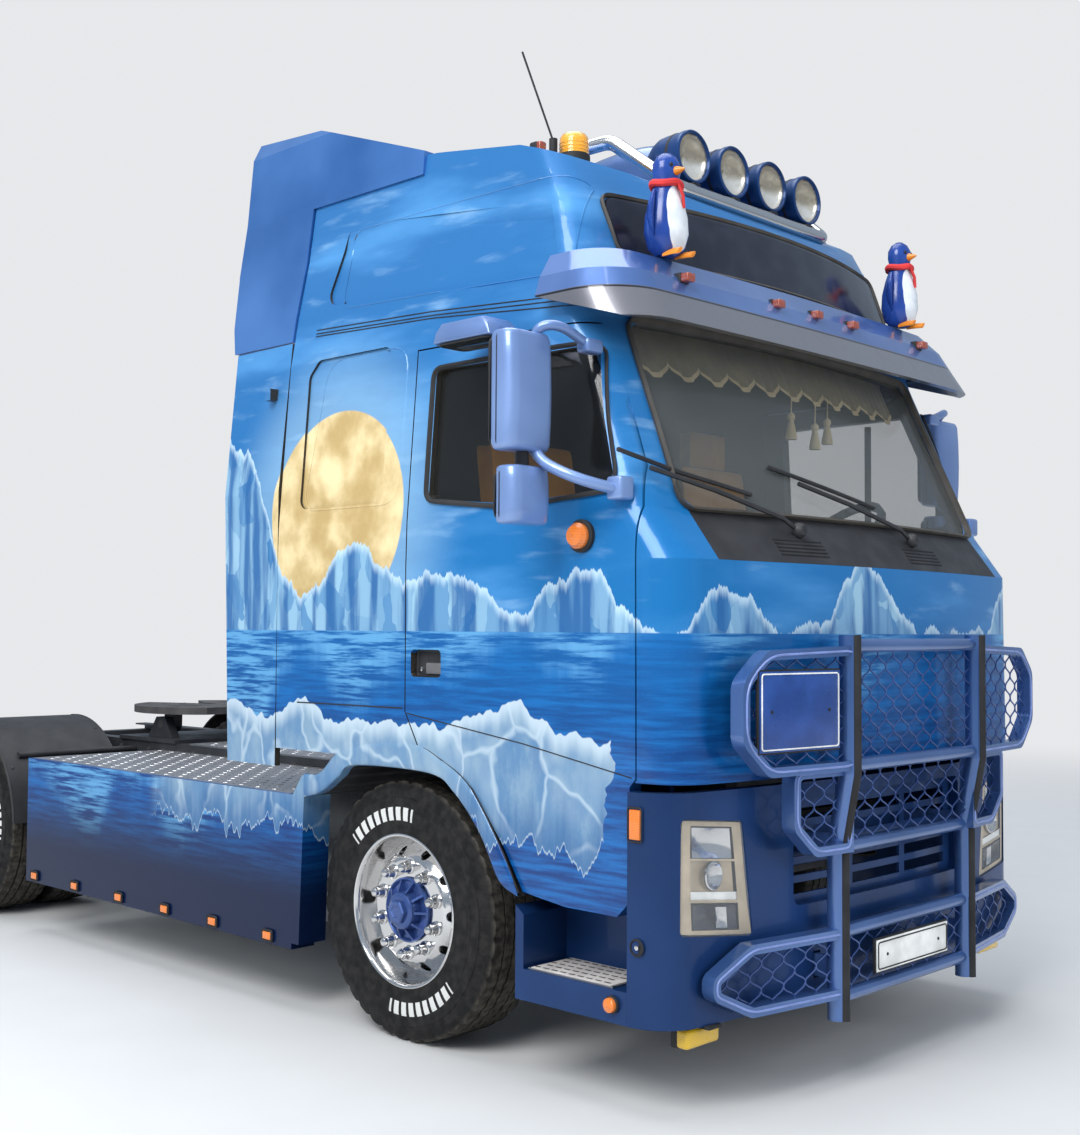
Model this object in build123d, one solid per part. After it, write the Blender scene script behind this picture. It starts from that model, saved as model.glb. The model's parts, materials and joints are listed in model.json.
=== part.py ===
from build123d import *
import os
from math import cos, sin, sqrt, pi

os.makedirs("parts", exist_ok=True)

# High-roof 4x2 road tractor with a decorated cab, a bull bar, a lamp bar and closed side skirts.
# Millimetres. It is drawn about the front axle: X to the vehicle's left, Y to its rear, Z up from the ground.
# At the end everything moves along Y, so that the middle of the overall box stands over the origin.

# Overall layout
wheelbase = 3700
rear_overhang = 940
fit_gap = 0.3
panel_gap = 6

# Wheels: 315/70 R22.5 tyres on 22.5 inch rims
tyre_radius = 507
tyre_width = 315
bead_radius = 288
tyre_sides = 48
wheel_sides = 24
rim_lip_radius = 298
rim_width = 292
rim_well_radius = 262
rim_wall = 10
disc_thickness = 22
bolt_circle = 335
bolt_count = 10
nut_radius = 21
nut_length = 48
hand_hole_radius = 20
hand_hole_circle = 456
front_tyre_x = 1030
rear_outer_x = 1067
twin_spacing = 350

hub_bore = 130
disc_flat_radius = 205
drum_radius = 200
front_disc_x = -92
rear_drum_depth = 112
rear_spindle_radius = 55
pin_clearance = 0.1

# Front axle, kingpins and steering
kingpin_x = 905
kingpin_radius = 25
axle_drop = 400
spring_reach = 800
spring_end_z = 640
spring_seat = 480
axle_eye_radius = 52
axle_eye_height = 130
spindle_radius = 42

# Cab body
cab_rear_y = 759
cab_underside = 1100
cab_floor = 1380
floor_thickness = 60
cab_wall = 60
skin_thickness = 26
side_slope = 0.031
taper_start_y = -81
roof_wall = 60

wheel_x = 620

# Doors
door_rear_y = -81
door_top = 2700
door_bottom = 645
door_front_y = -1211
door_thickness = 60
glass_thickness = 6

# Windscreen
screen_bottom = 2040
screen_top = 2728
screen_bottom_half = 1015
screen_top_half = 962
cowl_bottom = 1850
hatch_half_width = 930

# Wheel arch, drawn on the side of the cab
arch_liner = 6
arch_inner_x = 640

# Bumper and steps
bumper_half_width = 1236
bumper_front = 1450
bumper_bow = 95
bumper_corner = 170
bumper_bottom = 300
bumper_top = 1072
bumper_rear = 1200
bumper_wall = 40
step_rear = 680
step_tread = 410
step_inner_x = 985

# Bull bar
bar_post_x = 465
bar_radius = 36
bar_upper_y = 1572
bar_lower_y = 1522
rail_radius = 25
rubber_thickness = 12

# Chassis
rail_outer_x = 425
rail_height = 270
rail_flange = 80
rail_wall = 10
rail_top = 950
rail_front = -1150
cab_mount_ys = (-1000, 600)
cross_member_ys = (rail_front, 700, 1500, 2300, 3130, 4000, 4480)
fifth_wheel_y = 3130
fifth_wheel_height = 1150
fifth_wheel_radius = 450
pivot_radius = 25
bellows_x = 405
bellows_y = 450
bellows_foot = 470
bellows_radius = 112

# Side skirts
skirt_x = 1230
skirt_top = 908
skirt_bottom = 262
skirt_front = 650
skirt_rear = 2990
skirt_wall = 25
mudguard_radius = 575

rear_end = wheelbase + rear_overhang
front_reach = bar_upper_y + bar_radius + rubber_thickness
axle_shift = (front_reach - rear_end) / 2
shift = Pos(0, axle_shift, 0)
nodes = {}


def joined(shape):
    solids = shape.solids()
    return solids[0] if len(solids) == 1 else Compound(solids)


def keep(name, shape):
    nodes[name] = joined(shape)


def both(name, right_side):
    # One node for each side, where each side is on a moving body of its own
    keep(name + "_right", right_side)
    keep(name + "_left", mirror(joined(right_side), about=Plane.YZ))


def pair(right_side):
    # The same piece on both sides
    solids = right_side.solids()
    return Compound(solids + mirror(Compound(solids), about=Plane.YZ).solids())


def group(*shapes):
    return Compound([solid for shape in shapes for solid in shape.solids()])


def block(x, y, z):
    # A box from its low and high values along each axis
    size = (x[1] - x[0], y[1] - y[0], z[1] - z[0])
    return Pos((x[0] + x[1]) / 2, (y[0] + y[1]) / 2, (z[0] + z[1]) / 2) * Box(*size)


def side_face(points, radius=0):
    # A closed outline in Y and Z
    face = make_face(Polyline(*points, close=True))
    return fillet(face.vertices(), radius) if radius else face


def side_prism(face, x_low, x_high):
    return Pos(x_low, 0, 0) * extrude(Plane.YZ * face, amount=x_high - x_low)


def front_prism(face, y_low, y_high):
    # An outline in X and Z, which the plane looks at from the front
    return Pos(0, y_high, 0) * extrude(Plane.XZ * face, amount=y_high - y_low)


def rod(start, end, radius):
    path = Line(start, end)
    return extrude(Plane(origin=start, z_dir=path % 0) * Circle(radius), amount=path.length)


def across(radius, x_low, x_high, y, z):
    # A round bar along X
    return rod((x_low, y, z), (x_high, y, z), radius)


def pipe(points, radius, sides=0):
    # A bar along straight lines with mitred corners, round or with flat sides
    path = Polyline(*points)
    section = RegularPolygon(radius, sides) if sides else Circle(radius)
    return sweep(Plane(origin=path @ 0, z_dir=path % 0) * section, path=path, transition=Transition.RIGHT)


def turned(sections, sides):
    # A solid of flat faces about the X axis, whose sections are regular polygons: position along X and radius
    turns = [2 * pi * k / sides for k in range(sides)]
    rings = [[(x, radius * sin(turn), radius * cos(turn)) for turn in turns] for x, radius in sections]
    outlines = [rings[0], rings[-1]]
    for low, high in zip(rings, rings[1:]):
        for k in range(sides):
            outlines.append((low[k - 1], low[k], high[k], high[k - 1]))
    return Solid(Shell([make_face(Polyline(*outline, close=True)) for outline in outlines]))


def bowed_section(z, half_width, front_y, bow, corner, rear_y, slope=0):
    # A plan outline with straight sides, a bowed front and rounded front corners
    side = half_width - slope * (taper_start_y - front_y - bow)
    start = (-side, front_y + bow)
    end = (side, front_y + bow)
    if slope:
        back = [start, (-half_width, taper_start_y), (-half_width, rear_y),
                (half_width, rear_y), (half_width, taper_start_y), end]
    else:
        back = [start, (-half_width, rear_y), (half_width, rear_y), end]
    edges = Curve() + Polyline(*back) + ThreePointArc(start, (0, front_y), end)
    face = make_face(edges)
    front = face.vertices().group_by(Axis.Y)[0]
    return Pos(0, 0, z) * fillet(front, corner)


# Cab: plan sections from the door's foot to above the roof
cab_sections = (
    # height, half width, front Y, bow, corner radius
    (600, 1238, -1490, 110, 170),
    (1100, 1243, -1490, 110, 170),
    (cowl_bottom, 1247, -1480, 115, 160),
    (screen_bottom - 10, 1243, -1350, 125, 130),
    (screen_top + 8, 1190, -1035, 115, 110),
    (2960, 1152, -1022, 170, 120),
    (3215, 1098, -945, 180, 130),
    (3700, 1030, -690, 170, 140),
)
roof_line = (
    # Y, height on the centre line
    (-1100, 3130),
    (-960, 3245),
    (-780, 3362),
    (-492, 3465),
    (-18, 3540),
    (cab_rear_y + 100, 3596),
)


def cab_form(inset=0, roof_drop=0):
    faces = [
        bowed_section(z, half - inset, front + inset, bow, corner - inset / 2, cab_rear_y - inset, side_slope)
        for z, half, front, bow, corner in cab_sections
    ]
    body = loft(faces, ruled=True)
    top = [(y, z - roof_drop) for y, z in roof_line]
    under = side_face([(-1700, 500), (-1700, top[0][1])] + top + [(top[-1][0], 500)])
    return body & side_prism(under, -1400, 1400)


cab_outer = cab_form()
cab_inner = cab_form(cab_wall, roof_wall)
cab_clear = cab_form(-fit_gap, -fit_gap)

# The outline of the wheel arch's lip and of the band's outer edge, from the front of the arch to its rear
arch_lip = (
    # Y, Z
    (-step_rear - 16, 660),
    (-598, 700),
    (-505, 850),
    (-368, 990),
    (-215, 1060),
    (230, 1060),
    (330, 1010),
    (440, 940),
    (560, 905),
)
arch_outer = (
    # Y, Z
    (-step_rear - 16, 673),
    (-604, 818),
    (-445, 1018),
    (-285, 1112),
    (-150, 1160),
    (70, 1162),
    (320, 1110),
    (455, 1012),
    (560, 1000),
)
arch_region = side_face([(-step_rear - 16, 300), *arch_outer, (700, 1000), (700, 300)])
lip_region = side_face([(-step_rear - 16, 300), *arch_lip, (700, 905), (700, 300)])

# Door outline on the right-hand side, rear edge first
door_outline = (
    # Y, Z
    (door_rear_y, 1292),
    (door_rear_y, door_top),
    (-1005, door_top),
    (-1077, 2404),
    (-1175, 2171),
    (-1209, 2027),
    (door_front_y, 1112),
    (-1186, 1084),
    (-1184, 700),
    (-1130, door_bottom),
    (-900, 648),
    (-step_rear - 20, 675),
)


def door_face(grow=0):
    lower = [(y - 3, z + 4) for y, z in arch_outer[1:5]]
    face = make_face(Polyline(*door_outline, *lower, close=True))
    return offset(face, amount=grow, kind=Kind.INTERSECTION) if grow else face


window_outline = (
    # Y, Z
    (-192, 2108),
    (-192, 2612),
    (-975, 2612),
    (-1040, 2350),
    (-1100, 2150),
    (-1085, 2095),
    (-640, 2066),
)
window_face = side_face(window_outline, 30)
side_reach = (-1400, -1085)


def cab_shell():
    shell = cab_outer - cab_inner
    shell = shell & block((-1400, 1400), (-1700, 900), (cab_underside, 3800))
    floor = cab_inner & block((-1400, 1400), (-1330, 900), (cab_floor - floor_thickness, cab_floor))
    shell = shell + floor
    opening = side_prism(door_face(panel_gap), *side_reach)
    arch = side_prism(arch_region, -1400, -arch_inner_x)
    front_layer = cab_outer - Pos(0, skin_thickness + fit_gap, 0) * cab_outer
    for panel in (front_zone(fit_gap), cowl_zone(fit_gap)):
        shell = shell - (front_layer & panel)
    shell = shell - corner_layer(fit_gap)
    shell = shell - front_prism(screen_face(), -1700, -700)
    for cut in (opening, arch):
        shell = shell - cut - mirror(cut, about=Plane.YZ)
    for face, depth in ((blind_window, 12), (upper_panel, 12)):
        cut = side_prism(face, *side_reach) - Pos(depth, 0, 0) * cab_outer
        shell = shell - cut - mirror(cut, about=Plane.YZ)
    return shell


blind_window = side_face(((85, 2110), (85, 2745), (560, 2745), (622, 2680), (622, 2110)), 45)
upper_panel = side_face(((-800, 2885), (-690, 3200), (490, 3330), (575, 2985)), 60)


def screen_face(shrink=0):
    low = screen_bottom_half - shrink
    high = screen_top_half - shrink
    bottom = screen_bottom + shrink
    top = screen_top - shrink
    face = make_face(Polyline((-low, bottom), (low, bottom), (high, top), (-high, top), close=True))
    return fillet(face.vertices(), 60)


def front_zone(grow=0):
    half = hatch_half_width + grow
    return block((-half, half), (-1700, -1000), (cab_underside, cowl_bottom + grow))


def cowl_zone(grow=0):
    half = hatch_half_width + 70 + grow
    return block((-half, half), (-1700, -1000), (cowl_bottom + 2 * fit_gap - grow, screen_bottom - 14 + grow))


def corner_layer(extra=0):
    # The skin of both front corners, from the hatch's edge round to the door
    skin = cab_outer - cab_form(skin_thickness + extra)
    zone_y = (-1700, door_front_y - panel_gap)
    zone = block((-1400, -hatch_half_width - 2), zone_y, (cab_underside, cowl_bottom))
    both_zones = zone + mirror(zone, about=Plane.YZ)
    return skin & both_zones


keep("cab_shell", cab_shell())

# Panels on the front of the cab
front_layer = cab_outer - Pos(0, skin_thickness, 0) * cab_outer
keep("front_hatch", front_layer & front_zone())
keep("cowl_panel", front_layer & cowl_zone())
keep("corner_panels", corner_layer() - side_prism(door_face(panel_gap), -1400, 1400))
screen_layer = Pos(0, 4, 0) * cab_outer - Pos(0, 4 + glass_thickness, 0) * cab_outer
keep("windscreen", screen_layer & front_prism(screen_face(fit_gap), -1700, -700))


def door():
    leaf = (cab_outer - cab_form(door_thickness, roof_wall)) & side_prism(door_face(), *side_reach)
    leaf = leaf - side_prism(window_face, *side_reach)
    # Grip recess near the rear edge
    pocket = side_prism(side_face(((-110, 1425), (-110, 1530), (-275, 1530), (-275, 1425)), 18), *side_reach)
    leaf = leaf - (pocket - Pos(34, 0, 0) * cab_outer)
    grip = side_prism(side_face(((-122, 1458), (-122, 1497), (-228, 1497), (-228, 1458)), 8), *side_reach)
    return leaf + (grip & (Pos(4, 0, 0) * cab_outer - Pos(36, 0, 0) * cab_outer))


def door_glass():
    layer = Pos(24, 0, 0) * cab_outer - Pos(24 + glass_thickness, 0, 0) * cab_outer
    return layer & side_prism(offset(window_face, amount=-fit_gap), *side_reach)


both("door", door())
both("door_glass", door_glass())


# Side deflectors behind the cab: three plan sections, leaning in with the cab's side
deflector_sections = (
    # height, outer half width, rear Y
    (1022, 1244, 1165),
    (2200, 1243, 1215),
    (2845, 1178, 1225),
)
deflector_wall = 28


def side_deflector():
    faces = []
    for z, half, rear in deflector_sections:
        front = cab_rear_y + panel_gap
        face = make_face(Polyline(
            (-half, front), (-half + 6, rear - 40), (-half + 40, rear),
            (-half + 40 + deflector_wall, rear - 25), (-half + deflector_wall, front), close=True))
        faces.append(Pos(0, 0, z) * face)
    plate = loft(faces, ruled=True)
    # Brackets from the cab's rear wall
    for z in (1400, 2000, 2600):
        plate = plate + block((-1130, -1090), (cab_rear_y, cab_rear_y + 120), (z, z + 50))
        plate = plate + block((-1240, -1090), (cab_rear_y + 80, cab_rear_y + 120), (z, z + 50))
    return plate & block((-1260, 0), (0, 1300), (900, 2845))


keep("side_deflectors", pair(side_deflector()))

# Roof spoiler: a hollow fairing that rises from the roof to a raised rear edge
spoiler_side = (
    # Y, Z
    (40, 3400),
    (40, 3560),
    (274, 3645),
    (773, 3825),
    (1262, 3872),
    (1262, 3790),
    (1280, 3230),
    (1240, 2980),
    (1200, 2851),
    (cab_rear_y + panel_gap, 2851),
)
spoiler_half = (
    # X, Z: just outside the cab's side, then a sloping shoulder
    (1196, 2700),
    (1180, 2851),
    (1162, 2960),
    (1108, 3215),
    (1072, 3480),
    (1050, 3790),
    (1000, 3890),
)


shoulder_z = 3500


def spoiler_form(inset=0):
    side = side_face(spoiler_side)
    half = [(x - inset, z if z < shoulder_z else z - inset) for x, z in spoiler_half]
    front = make_face(Polyline(*half, *[(-x, z) for x, z in reversed(half)], close=True))
    form = Pos(0, 0, -inset) * side_prism(side, -1300, 1300)
    if inset:
        form = form + Pos(0, 60, -inset) * side_prism(side, -1300, 1300)
        form = form + Pos(0, 0, -inset - 60) * side_prism(side, -1300, 1300)
    return form & front_prism(front, -600, 1400)


spoiler_wall = 30
spoiler = spoiler_form() - spoiler_form(spoiler_wall)
spoiler = spoiler - cab_clear - block((-1300, 1300), (-600, cab_rear_y + panel_gap), (2000, 3460))
keep("roof_spoiler", spoiler)

# Sun visor: three plan sections, hollow underneath
visor_sections = (
    # height, half width, front Y, bow, corner radius
    (2690, 1246, -1246, 26, 230),
    (2805, 1240, -1172, 26, 230),
    (2880, 1215, -1128, 26, 210),
    (2968, 1160, -1052, 40, 170),
)
visor_rear_y = -760


def visor_form(inset=0):
    # The inner form starts lower and ends lower by the wall
    faces = []
    for z, half, front, bow, corner in visor_sections:
        drop = 2 * inset if z == visor_sections[0][0] else inset
        rear = visor_rear_y + inset / 4
        faces.append(bowed_section(z - drop, half - inset, front + inset, bow, corner - inset, rear))
    return loft(faces, ruled=True)


visor_wall = 16
visor_cut = side_face(((-1130, 2600), (-1130, 2692), (-760, 2803), (-760, 2600)))
sun_visor = visor_form() - visor_form(visor_wall)
sun_visor = sun_visor - cab_clear - side_prism(visor_cut, -1400, 1400)
keep("sun_visor", sun_visor)

# Dark board across the roof's front, over the visor
board_face = make_face(Polyline((-925, 2992), (925, 2992), (940, 3225), (-940, 3225), close=True))
board_face = fillet(board_face.vertices(), 45)
keep("name_board", front_prism(board_face, -1700, -600) & (Pos(0, -12, 0) * cab_outer - cab_clear))

# Wheels, drawn with their outer side towards -X and their middle plane at X = 0
tyre_outline = (
    # share of the width, radius: bead, sidewall, shoulder and tread
    (0.42, bead_radius + 14),
    (0.5, 395),
    (0.47, 472),
    (0.42, tyre_radius),
)
rim_outside = (
    # X, radius
    (-rim_width / 2, rim_lip_radius),
    (-rim_width / 2 + 12, bead_radius - fit_gap),
    (-rim_width / 2 + 52, bead_radius - fit_gap),
    (-rim_width / 2 + 97, rim_well_radius),
    (rim_width / 2 - 97, rim_well_radius),
    (rim_width / 2 - 52, bead_radius - fit_gap),
    (rim_width / 2 - 12, bead_radius - fit_gap),
    (rim_width / 2, rim_lip_radius),
)
rim_inside = (
    # X, radius
    (-rim_width / 2 - 1, rim_lip_radius - rim_wall),
    (-rim_width / 2 + 97, rim_well_radius - rim_wall),
    (rim_width / 2 - 97, rim_well_radius - rim_wall),
    (rim_width / 2 + 1, rim_lip_radius - rim_wall),
)


def tyre():
    side = [(tyre_width * share, radius) for share, radius in tyre_outline]
    ring = turned([(-x, r) for x, r in side] + [(x, r) for x, r in reversed(side)], tyre_sides)
    # The bore's flats touch the circle of the bead
    bore = bead_radius / cos(pi / tyre_sides)
    return ring - turned([(-tyre_width, bore), (tyre_width, bore)], tyre_sides)


def ring_places(circle, count, start=0):
    turns = [start + 2 * pi * k / count for k in range(count)]
    return [Pos(0, circle / 2 * sin(turn), circle / 2 * cos(turn)) for turn in turns]


def six_sided(radius, x_low, x_high):
    return Pos(x_low, 0, 0) * extrude(Plane.YZ * RegularPolygon(radius, 6), amount=x_high - x_low)


def rim(disc_x, slope, outer=True):
    # A dished disc in a barrel. The outer wheels have hand holes and covered nuts, the inner ones are plain
    face_x = disc_x - disc_thickness
    ends = [(face_x, disc_flat_radius), (face_x + slope, rim_well_radius - rim_wall / 2)]
    dish = turned(sorted(ends), wheel_sides)
    behind = Pos(disc_thickness, 0, 0) * dish
    disc = dish - behind if slope > 0 else behind - dish
    wheel = turned(rim_outside, wheel_sides) - turned(rim_inside, wheel_sides) + disc
    if outer:
        for place in ring_places(hand_hole_circle, bolt_count, pi / bolt_count):
            wheel = wheel - place * six_sided(hand_hole_radius, -rim_width, rim_width)
        for place in ring_places(bolt_circle, bolt_count):
            wheel = wheel + place * six_sided(nut_radius, face_x - nut_length, disc_x - 2)
    return wheel


# The hub's nose: distance from the disc's face towards the cap, radius
nose_start = ((8, hub_bore), (20, 112))
nose_end = ((30, 88), (0, 80))


def hub(flange_x, nose_x, reach, inner_x):
    # Brake drum and flange behind the disc, a waisted barrel through it and a hexagonal cap
    drum = turned([(flange_x, drum_radius), (inner_x, drum_radius)], wheel_sides)
    sections = [(nose_x - reach + step, radius) for step, radius in reversed(nose_end)]
    sections += [(nose_x - step, radius) for step, radius in reversed(nose_start)]
    nose = turned(sections + [(flange_x + 1, hub_bore)], wheel_sides)
    cap = six_sided(48, nose_x - reach - 22, nose_x - reach + 1)
    return drum + nose + cap


wheel_height = Pos(0, 0, tyre_radius)
front_place = Pos(-front_tyre_x, 0, 0) * wheel_height
one_tyre = tyre()
both("tyre_front", front_place * one_tyre)
front_hub = hub(front_disc_x, front_disc_x - disc_thickness, 52, 30)
front_bore = across(spindle_radius + pin_clearance, -40, 80, 0, 0)
both("wheel_front", front_place * (rim(front_disc_x, 64) + front_hub - front_bore))

# Twin rear wheels bear on each other at the plane midway between them
twin_half = twin_spacing / 2
outer_place = Pos(-rear_outer_x, wheelbase, 0) * wheel_height
inner_place = Pos(-rear_outer_x + twin_spacing, wheelbase, 0) * wheel_height
twin_place = Pos(-rear_outer_x + twin_half, wheelbase, 0) * wheel_height
both("tyres_rear", outer_place * one_tyre + inner_place * one_tyre)
outer_rim = outer_place * rim(twin_half, -130)
inner_rim = inner_place * mirror(rim(twin_half, -130, outer=False), about=Plane.YZ)
rear_hub = twin_place * hub(disc_thickness, -disc_thickness, 130, rear_drum_depth)
rear_bore = twin_place * across(rear_spindle_radius + pin_clearance, -90, rear_drum_depth + 50, 0, 0)
both("wheels_rear", outer_rim + inner_rim + rear_hub - rear_bore)


def upright(x, radius, z_low, z_high):
    return rod((x, 0, z_low), (x, 0, z_high), radius)


axle_top = (
    # X, height above the middle of the beam's drop
    (0, 80),
    (600, 80),
    (700, 147),
    (kingpin_x - 30, 147),
)
axle_foot = (
    (kingpin_x - 30, 67),
    (680, 67),
    (580, 0),
    (0, 0),
)


def front_axle():
    half = make_face(Polyline(*[(x, axle_drop + z) for x, z in axle_top + axle_foot], close=True))
    beam = front_prism(half + mirror(half, about=Plane.YZ), -45, 45)
    eye_low = tyre_radius - axle_eye_height / 2
    for x in (-kingpin_x, kingpin_x):
        beam = beam + upright(x, axle_eye_radius, eye_low, eye_low + axle_eye_height)
    for x in (-kingpin_x, kingpin_x):
        beam = beam - upright(x, kingpin_radius + pin_clearance, eye_low - 10, eye_low + axle_eye_height + 10)
    return beam


keep("front_axle", front_axle())


def knuckle():
    half = axle_eye_height / 2 + 1
    ear = 38
    x = -kingpin_x
    top = tyre_radius + half
    foot = tyre_radius - half
    body = block((x - 85, x - axle_eye_radius - 3), (-65, 65), (foot - ear, top + ear))
    for low in (top, foot - ear):
        body = body + block((x - 70, x), (-50, 50), (low, low + ear)) + upright(x, 50, low, low + ear)
    body = body + upright(x, kingpin_radius, foot - ear, top + ear)
    body = body + across(180, x - 85, x - 79, 0, tyre_radius)
    return body + across(spindle_radius, -front_tyre_x - 35, x - 80, 0, tyre_radius)


both("knuckle", knuckle())

# Chassis: two channel rails with cross members, spring hangers and the bumper's carrier
def chassis():
    low = rail_top - rail_height
    across_rail = (-rail_outer_x, -rail_outer_x + rail_flange)
    rail = block(across_rail, (rail_front, rear_end - 60), (low, rail_top))
    channel = (low + rail_wall, rail_top - rail_wall)
    rail = rail - block((-rail_outer_x + rail_wall, 0), (rail_front - 1, rear_end), channel)
    for y in (-spring_reach, spring_reach):
        rail = rail + block(across_rail, (y - 45, y + 45), (spring_end_z, low))
    # Bracket for the rear mudguard's front stay
    stay_y = wheelbase - 440
    beside = (-rail_outer_x - 90, -rail_outer_x)
    rail = rail + block(beside, (stay_y - 40, stay_y + 40), (low, rail_top - 100))
    # Posts that carry the cab's floor
    for y in cab_mount_ys:
        rail = rail + block((-rail_outer_x + 5, -rail_outer_x + 75), (y, y + 80),
                            (rail_top, cab_floor - floor_thickness - fit_gap))
    frame = rail + mirror(rail, about=Plane.YZ)
    for y in cross_member_ys:
        frame = frame + block((-rail_outer_x + 5, rail_outer_x - 5), (y, y + 100), (low + 40, rail_top - 40))
    return frame


engine_half = rail_outer_x - rail_flange
keep("engine_block", block((-engine_half, engine_half), (-950, 350), (rail_top - 330, rail_top + 100)))


def leaf_spring():
    reach = spring_reach + 40
    arc_top = ThreePointArc((-reach, spring_end_z), (0, spring_seat + 45), (reach, spring_end_z))
    arc_low = ThreePointArc((-reach, spring_end_z - 22), (0, spring_seat), (reach, spring_end_z - 22))
    ends = Line(arc_top @ 0, arc_low @ 0) + Line(arc_top @ 1, arc_low @ 1)
    return side_prism(make_face(arc_top + arc_low + ends), -rail_outer_x - 5, -rail_outer_x + 75)


spring = leaf_spring() & block((-900, 0), (-1000, 1000), (axle_drop + 80, 900))


def rear_axle():
    tube = across(70, -770, 770, wheelbase, tyre_radius)
    tube = tube + across(rear_spindle_radius, -960, 960, wheelbase, tyre_radius)
    tube = tube + across(205, -130, 130, wheelbase, tyre_radius)
    nose = rod((0, wheelbase - 330, tyre_radius), (0, wheelbase, tyre_radius), 120)
    tube = tube + nose
    reach = bellows_y + 120
    beam = block((-450, -370), (wheelbase - reach, wheelbase + reach), (430, bellows_foot))
    return tube + beam + mirror(beam, about=Plane.YZ)


keep("rear_axle", rear_axle())
bellows = rod((-bellows_x, wheelbase - bellows_y, bellows_foot),
              (-bellows_x, wheelbase - bellows_y, rail_top - rail_height), bellows_radius)
bellows = bellows + mirror(bellows, about=Plane.XZ.offset(-wheelbase))
keep("springs", pair(group(spring, bellows)))

# Fifth wheel: ears on a mounting plate, and a rocking plate with its throat open to the rear
pivot_z = rail_top + 95
plate_low = fifth_wheel_height - 40


def fifth_wheel_base():
    foot_z = rail_top + 20
    base = block((-440, 440), (fifth_wheel_y - 300, fifth_wheel_y + 300), (rail_top, foot_z))
    ear = side_face([(fifth_wheel_y + y, z) for y, z in (
        (-130, foot_z), (-45, pivot_z + 40), (45, pivot_z + 40), (130, foot_z))])
    base = base + side_prism(ear, -350, -300) + side_prism(ear, 300, 350)
    return base - across(pivot_radius + pin_clearance, -500, 500, fifth_wheel_y, pivot_z)


def fifth_wheel_plate():
    disc = Pos(0, fifth_wheel_y, plate_low) * extrude(Circle(fifth_wheel_radius), amount=40)
    disc = disc & block((-fifth_wheel_radius, fifth_wheel_radius),
                        (fifth_wheel_y - fifth_wheel_radius + 90, fifth_wheel_y + fifth_wheel_radius - 40),
                        (plate_low, fifth_wheel_height))
    ramp = fifth_wheel_y + fifth_wheel_radius
    throat = make_face(Polyline((-27, fifth_wheel_y), (-27, fifth_wheel_y + 130), (-190, ramp),
                                (190, ramp), (27, fifth_wheel_y + 130), (27, fifth_wheel_y), close=True))
    plate = disc - Pos(0, 0, plate_low - 5) * extrude(throat, amount=60)
    plate = plate - Pos(0, fifth_wheel_y, plate_low - 5) * extrude(Circle(27), amount=60)
    for side in (-1, 1):
        x = sorted((side * 235, side * 293))
        web = block(x, (fifth_wheel_y - 50, fifth_wheel_y + 50), (pivot_z, plate_low))
        boss = across(50, x[0], x[1], fifth_wheel_y, pivot_z)
        pin = across(pivot_radius, *sorted((side * 240, side * 350)), fifth_wheel_y, pivot_z)
        plate = plate + web + boss + pin
    return plate


keep("fifth_wheel_base", fifth_wheel_base())
keep("fifth_wheel_plate", fifth_wheel_plate())


def fender():
    # Painted band round the arch and the liner behind it
    band = side_prism(arch_region, -1240, -1212) - side_prism(lip_region, -1300, -1100)
    band = band & block((-1300, 0), (-step_rear - 16, 560), (600, 1200))
    inner = offset(lip_region, amount=arch_liner)
    liner = side_prism(inner, -1222, -arch_inner_x - 5) - side_prism(lip_region, -1300, -500)
    liner = liner & block((-1300, 0), (-step_rear - 10, 560), (700, 1200))
    return band + liner


def bumper_form(inset=0, z_low=bumper_bottom, z_high=bumper_top):
    face = bowed_section(z_low, bumper_half_width - inset, -bumper_front + inset, bumper_bow,
                         bumper_corner - inset, -bumper_rear)
    return extrude(face, amount=z_high - z_low)


lamp_outline = (
    # X, Z of the right-hand lamp, outer top first
    (-1148, 988),
    (-868, 962),
    (-815, 568),
    (-1150, 604),
)
lamp_face = fillet(make_face(Polyline(*lamp_outline, close=True)).vertices(), 18)


def bumper():
    shell = bumper_form() - bumper_form(bumper_wall, bumper_bottom - 10, bumper_top + 10)
    shell = shell & block((-1300, 1300), (-1500, -bumper_rear), (bumper_bottom, bumper_top))
    lamp_cut = front_prism(lamp_face, -1500, -1000)
    shell = shell - lamp_cut - mirror(lamp_cut, about=Plane.YZ)
    shell = shell - front_prism(Pos(0, 830) * RectangleRounded(1200, 380, 40), -1500, -1300)
    for x in (-bar_post_x, bar_post_x):
        shell = shell - block((x - 20, x + 20), (-1500, -1300), (372, 468))
    # Carrier beam between the bumper's skin and the frame's nose
    height = (rail_top - 230, rail_top - 60)
    carrier = block((-900, 900), (rail_front - 60, rail_front), height)
    for x in (-760, 700):
        carrier = carrier + block((x, x + 60), (-bumper_front + 70, rail_front), height)
    return shell + carrier


keep("bumper", bumper())
grille_wall = 12
grille = bumper_form(bumper_wall + fit_gap) - bumper_form(bumper_wall + fit_gap + grille_wall)
grille = grille & block((-650, 650), (-1500, -1200), (610, 1050))
for row in range(5):
    for column in range(3):
        x = -560 + column * 380
        grille = grille - block((x, x + 340), (-1500, -1300), (670 + row * 66, 710 + row * 66))
for x in (-bar_post_x, bar_post_x):
    grille = grille - block((x - 20, x + 20), (-1500, -1300), (802, 898))
keep("lower_grille", grille)


def headlight():
    inner = Pos(0, 6, 0) * bumper_form() - Pos(0, bumper_wall + 40, 0) * bumper_form()
    return inner & front_prism(offset(lamp_face, amount=-fit_gap), -1500, -1000)


keep("headlights", pair(headlight()))


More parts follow.
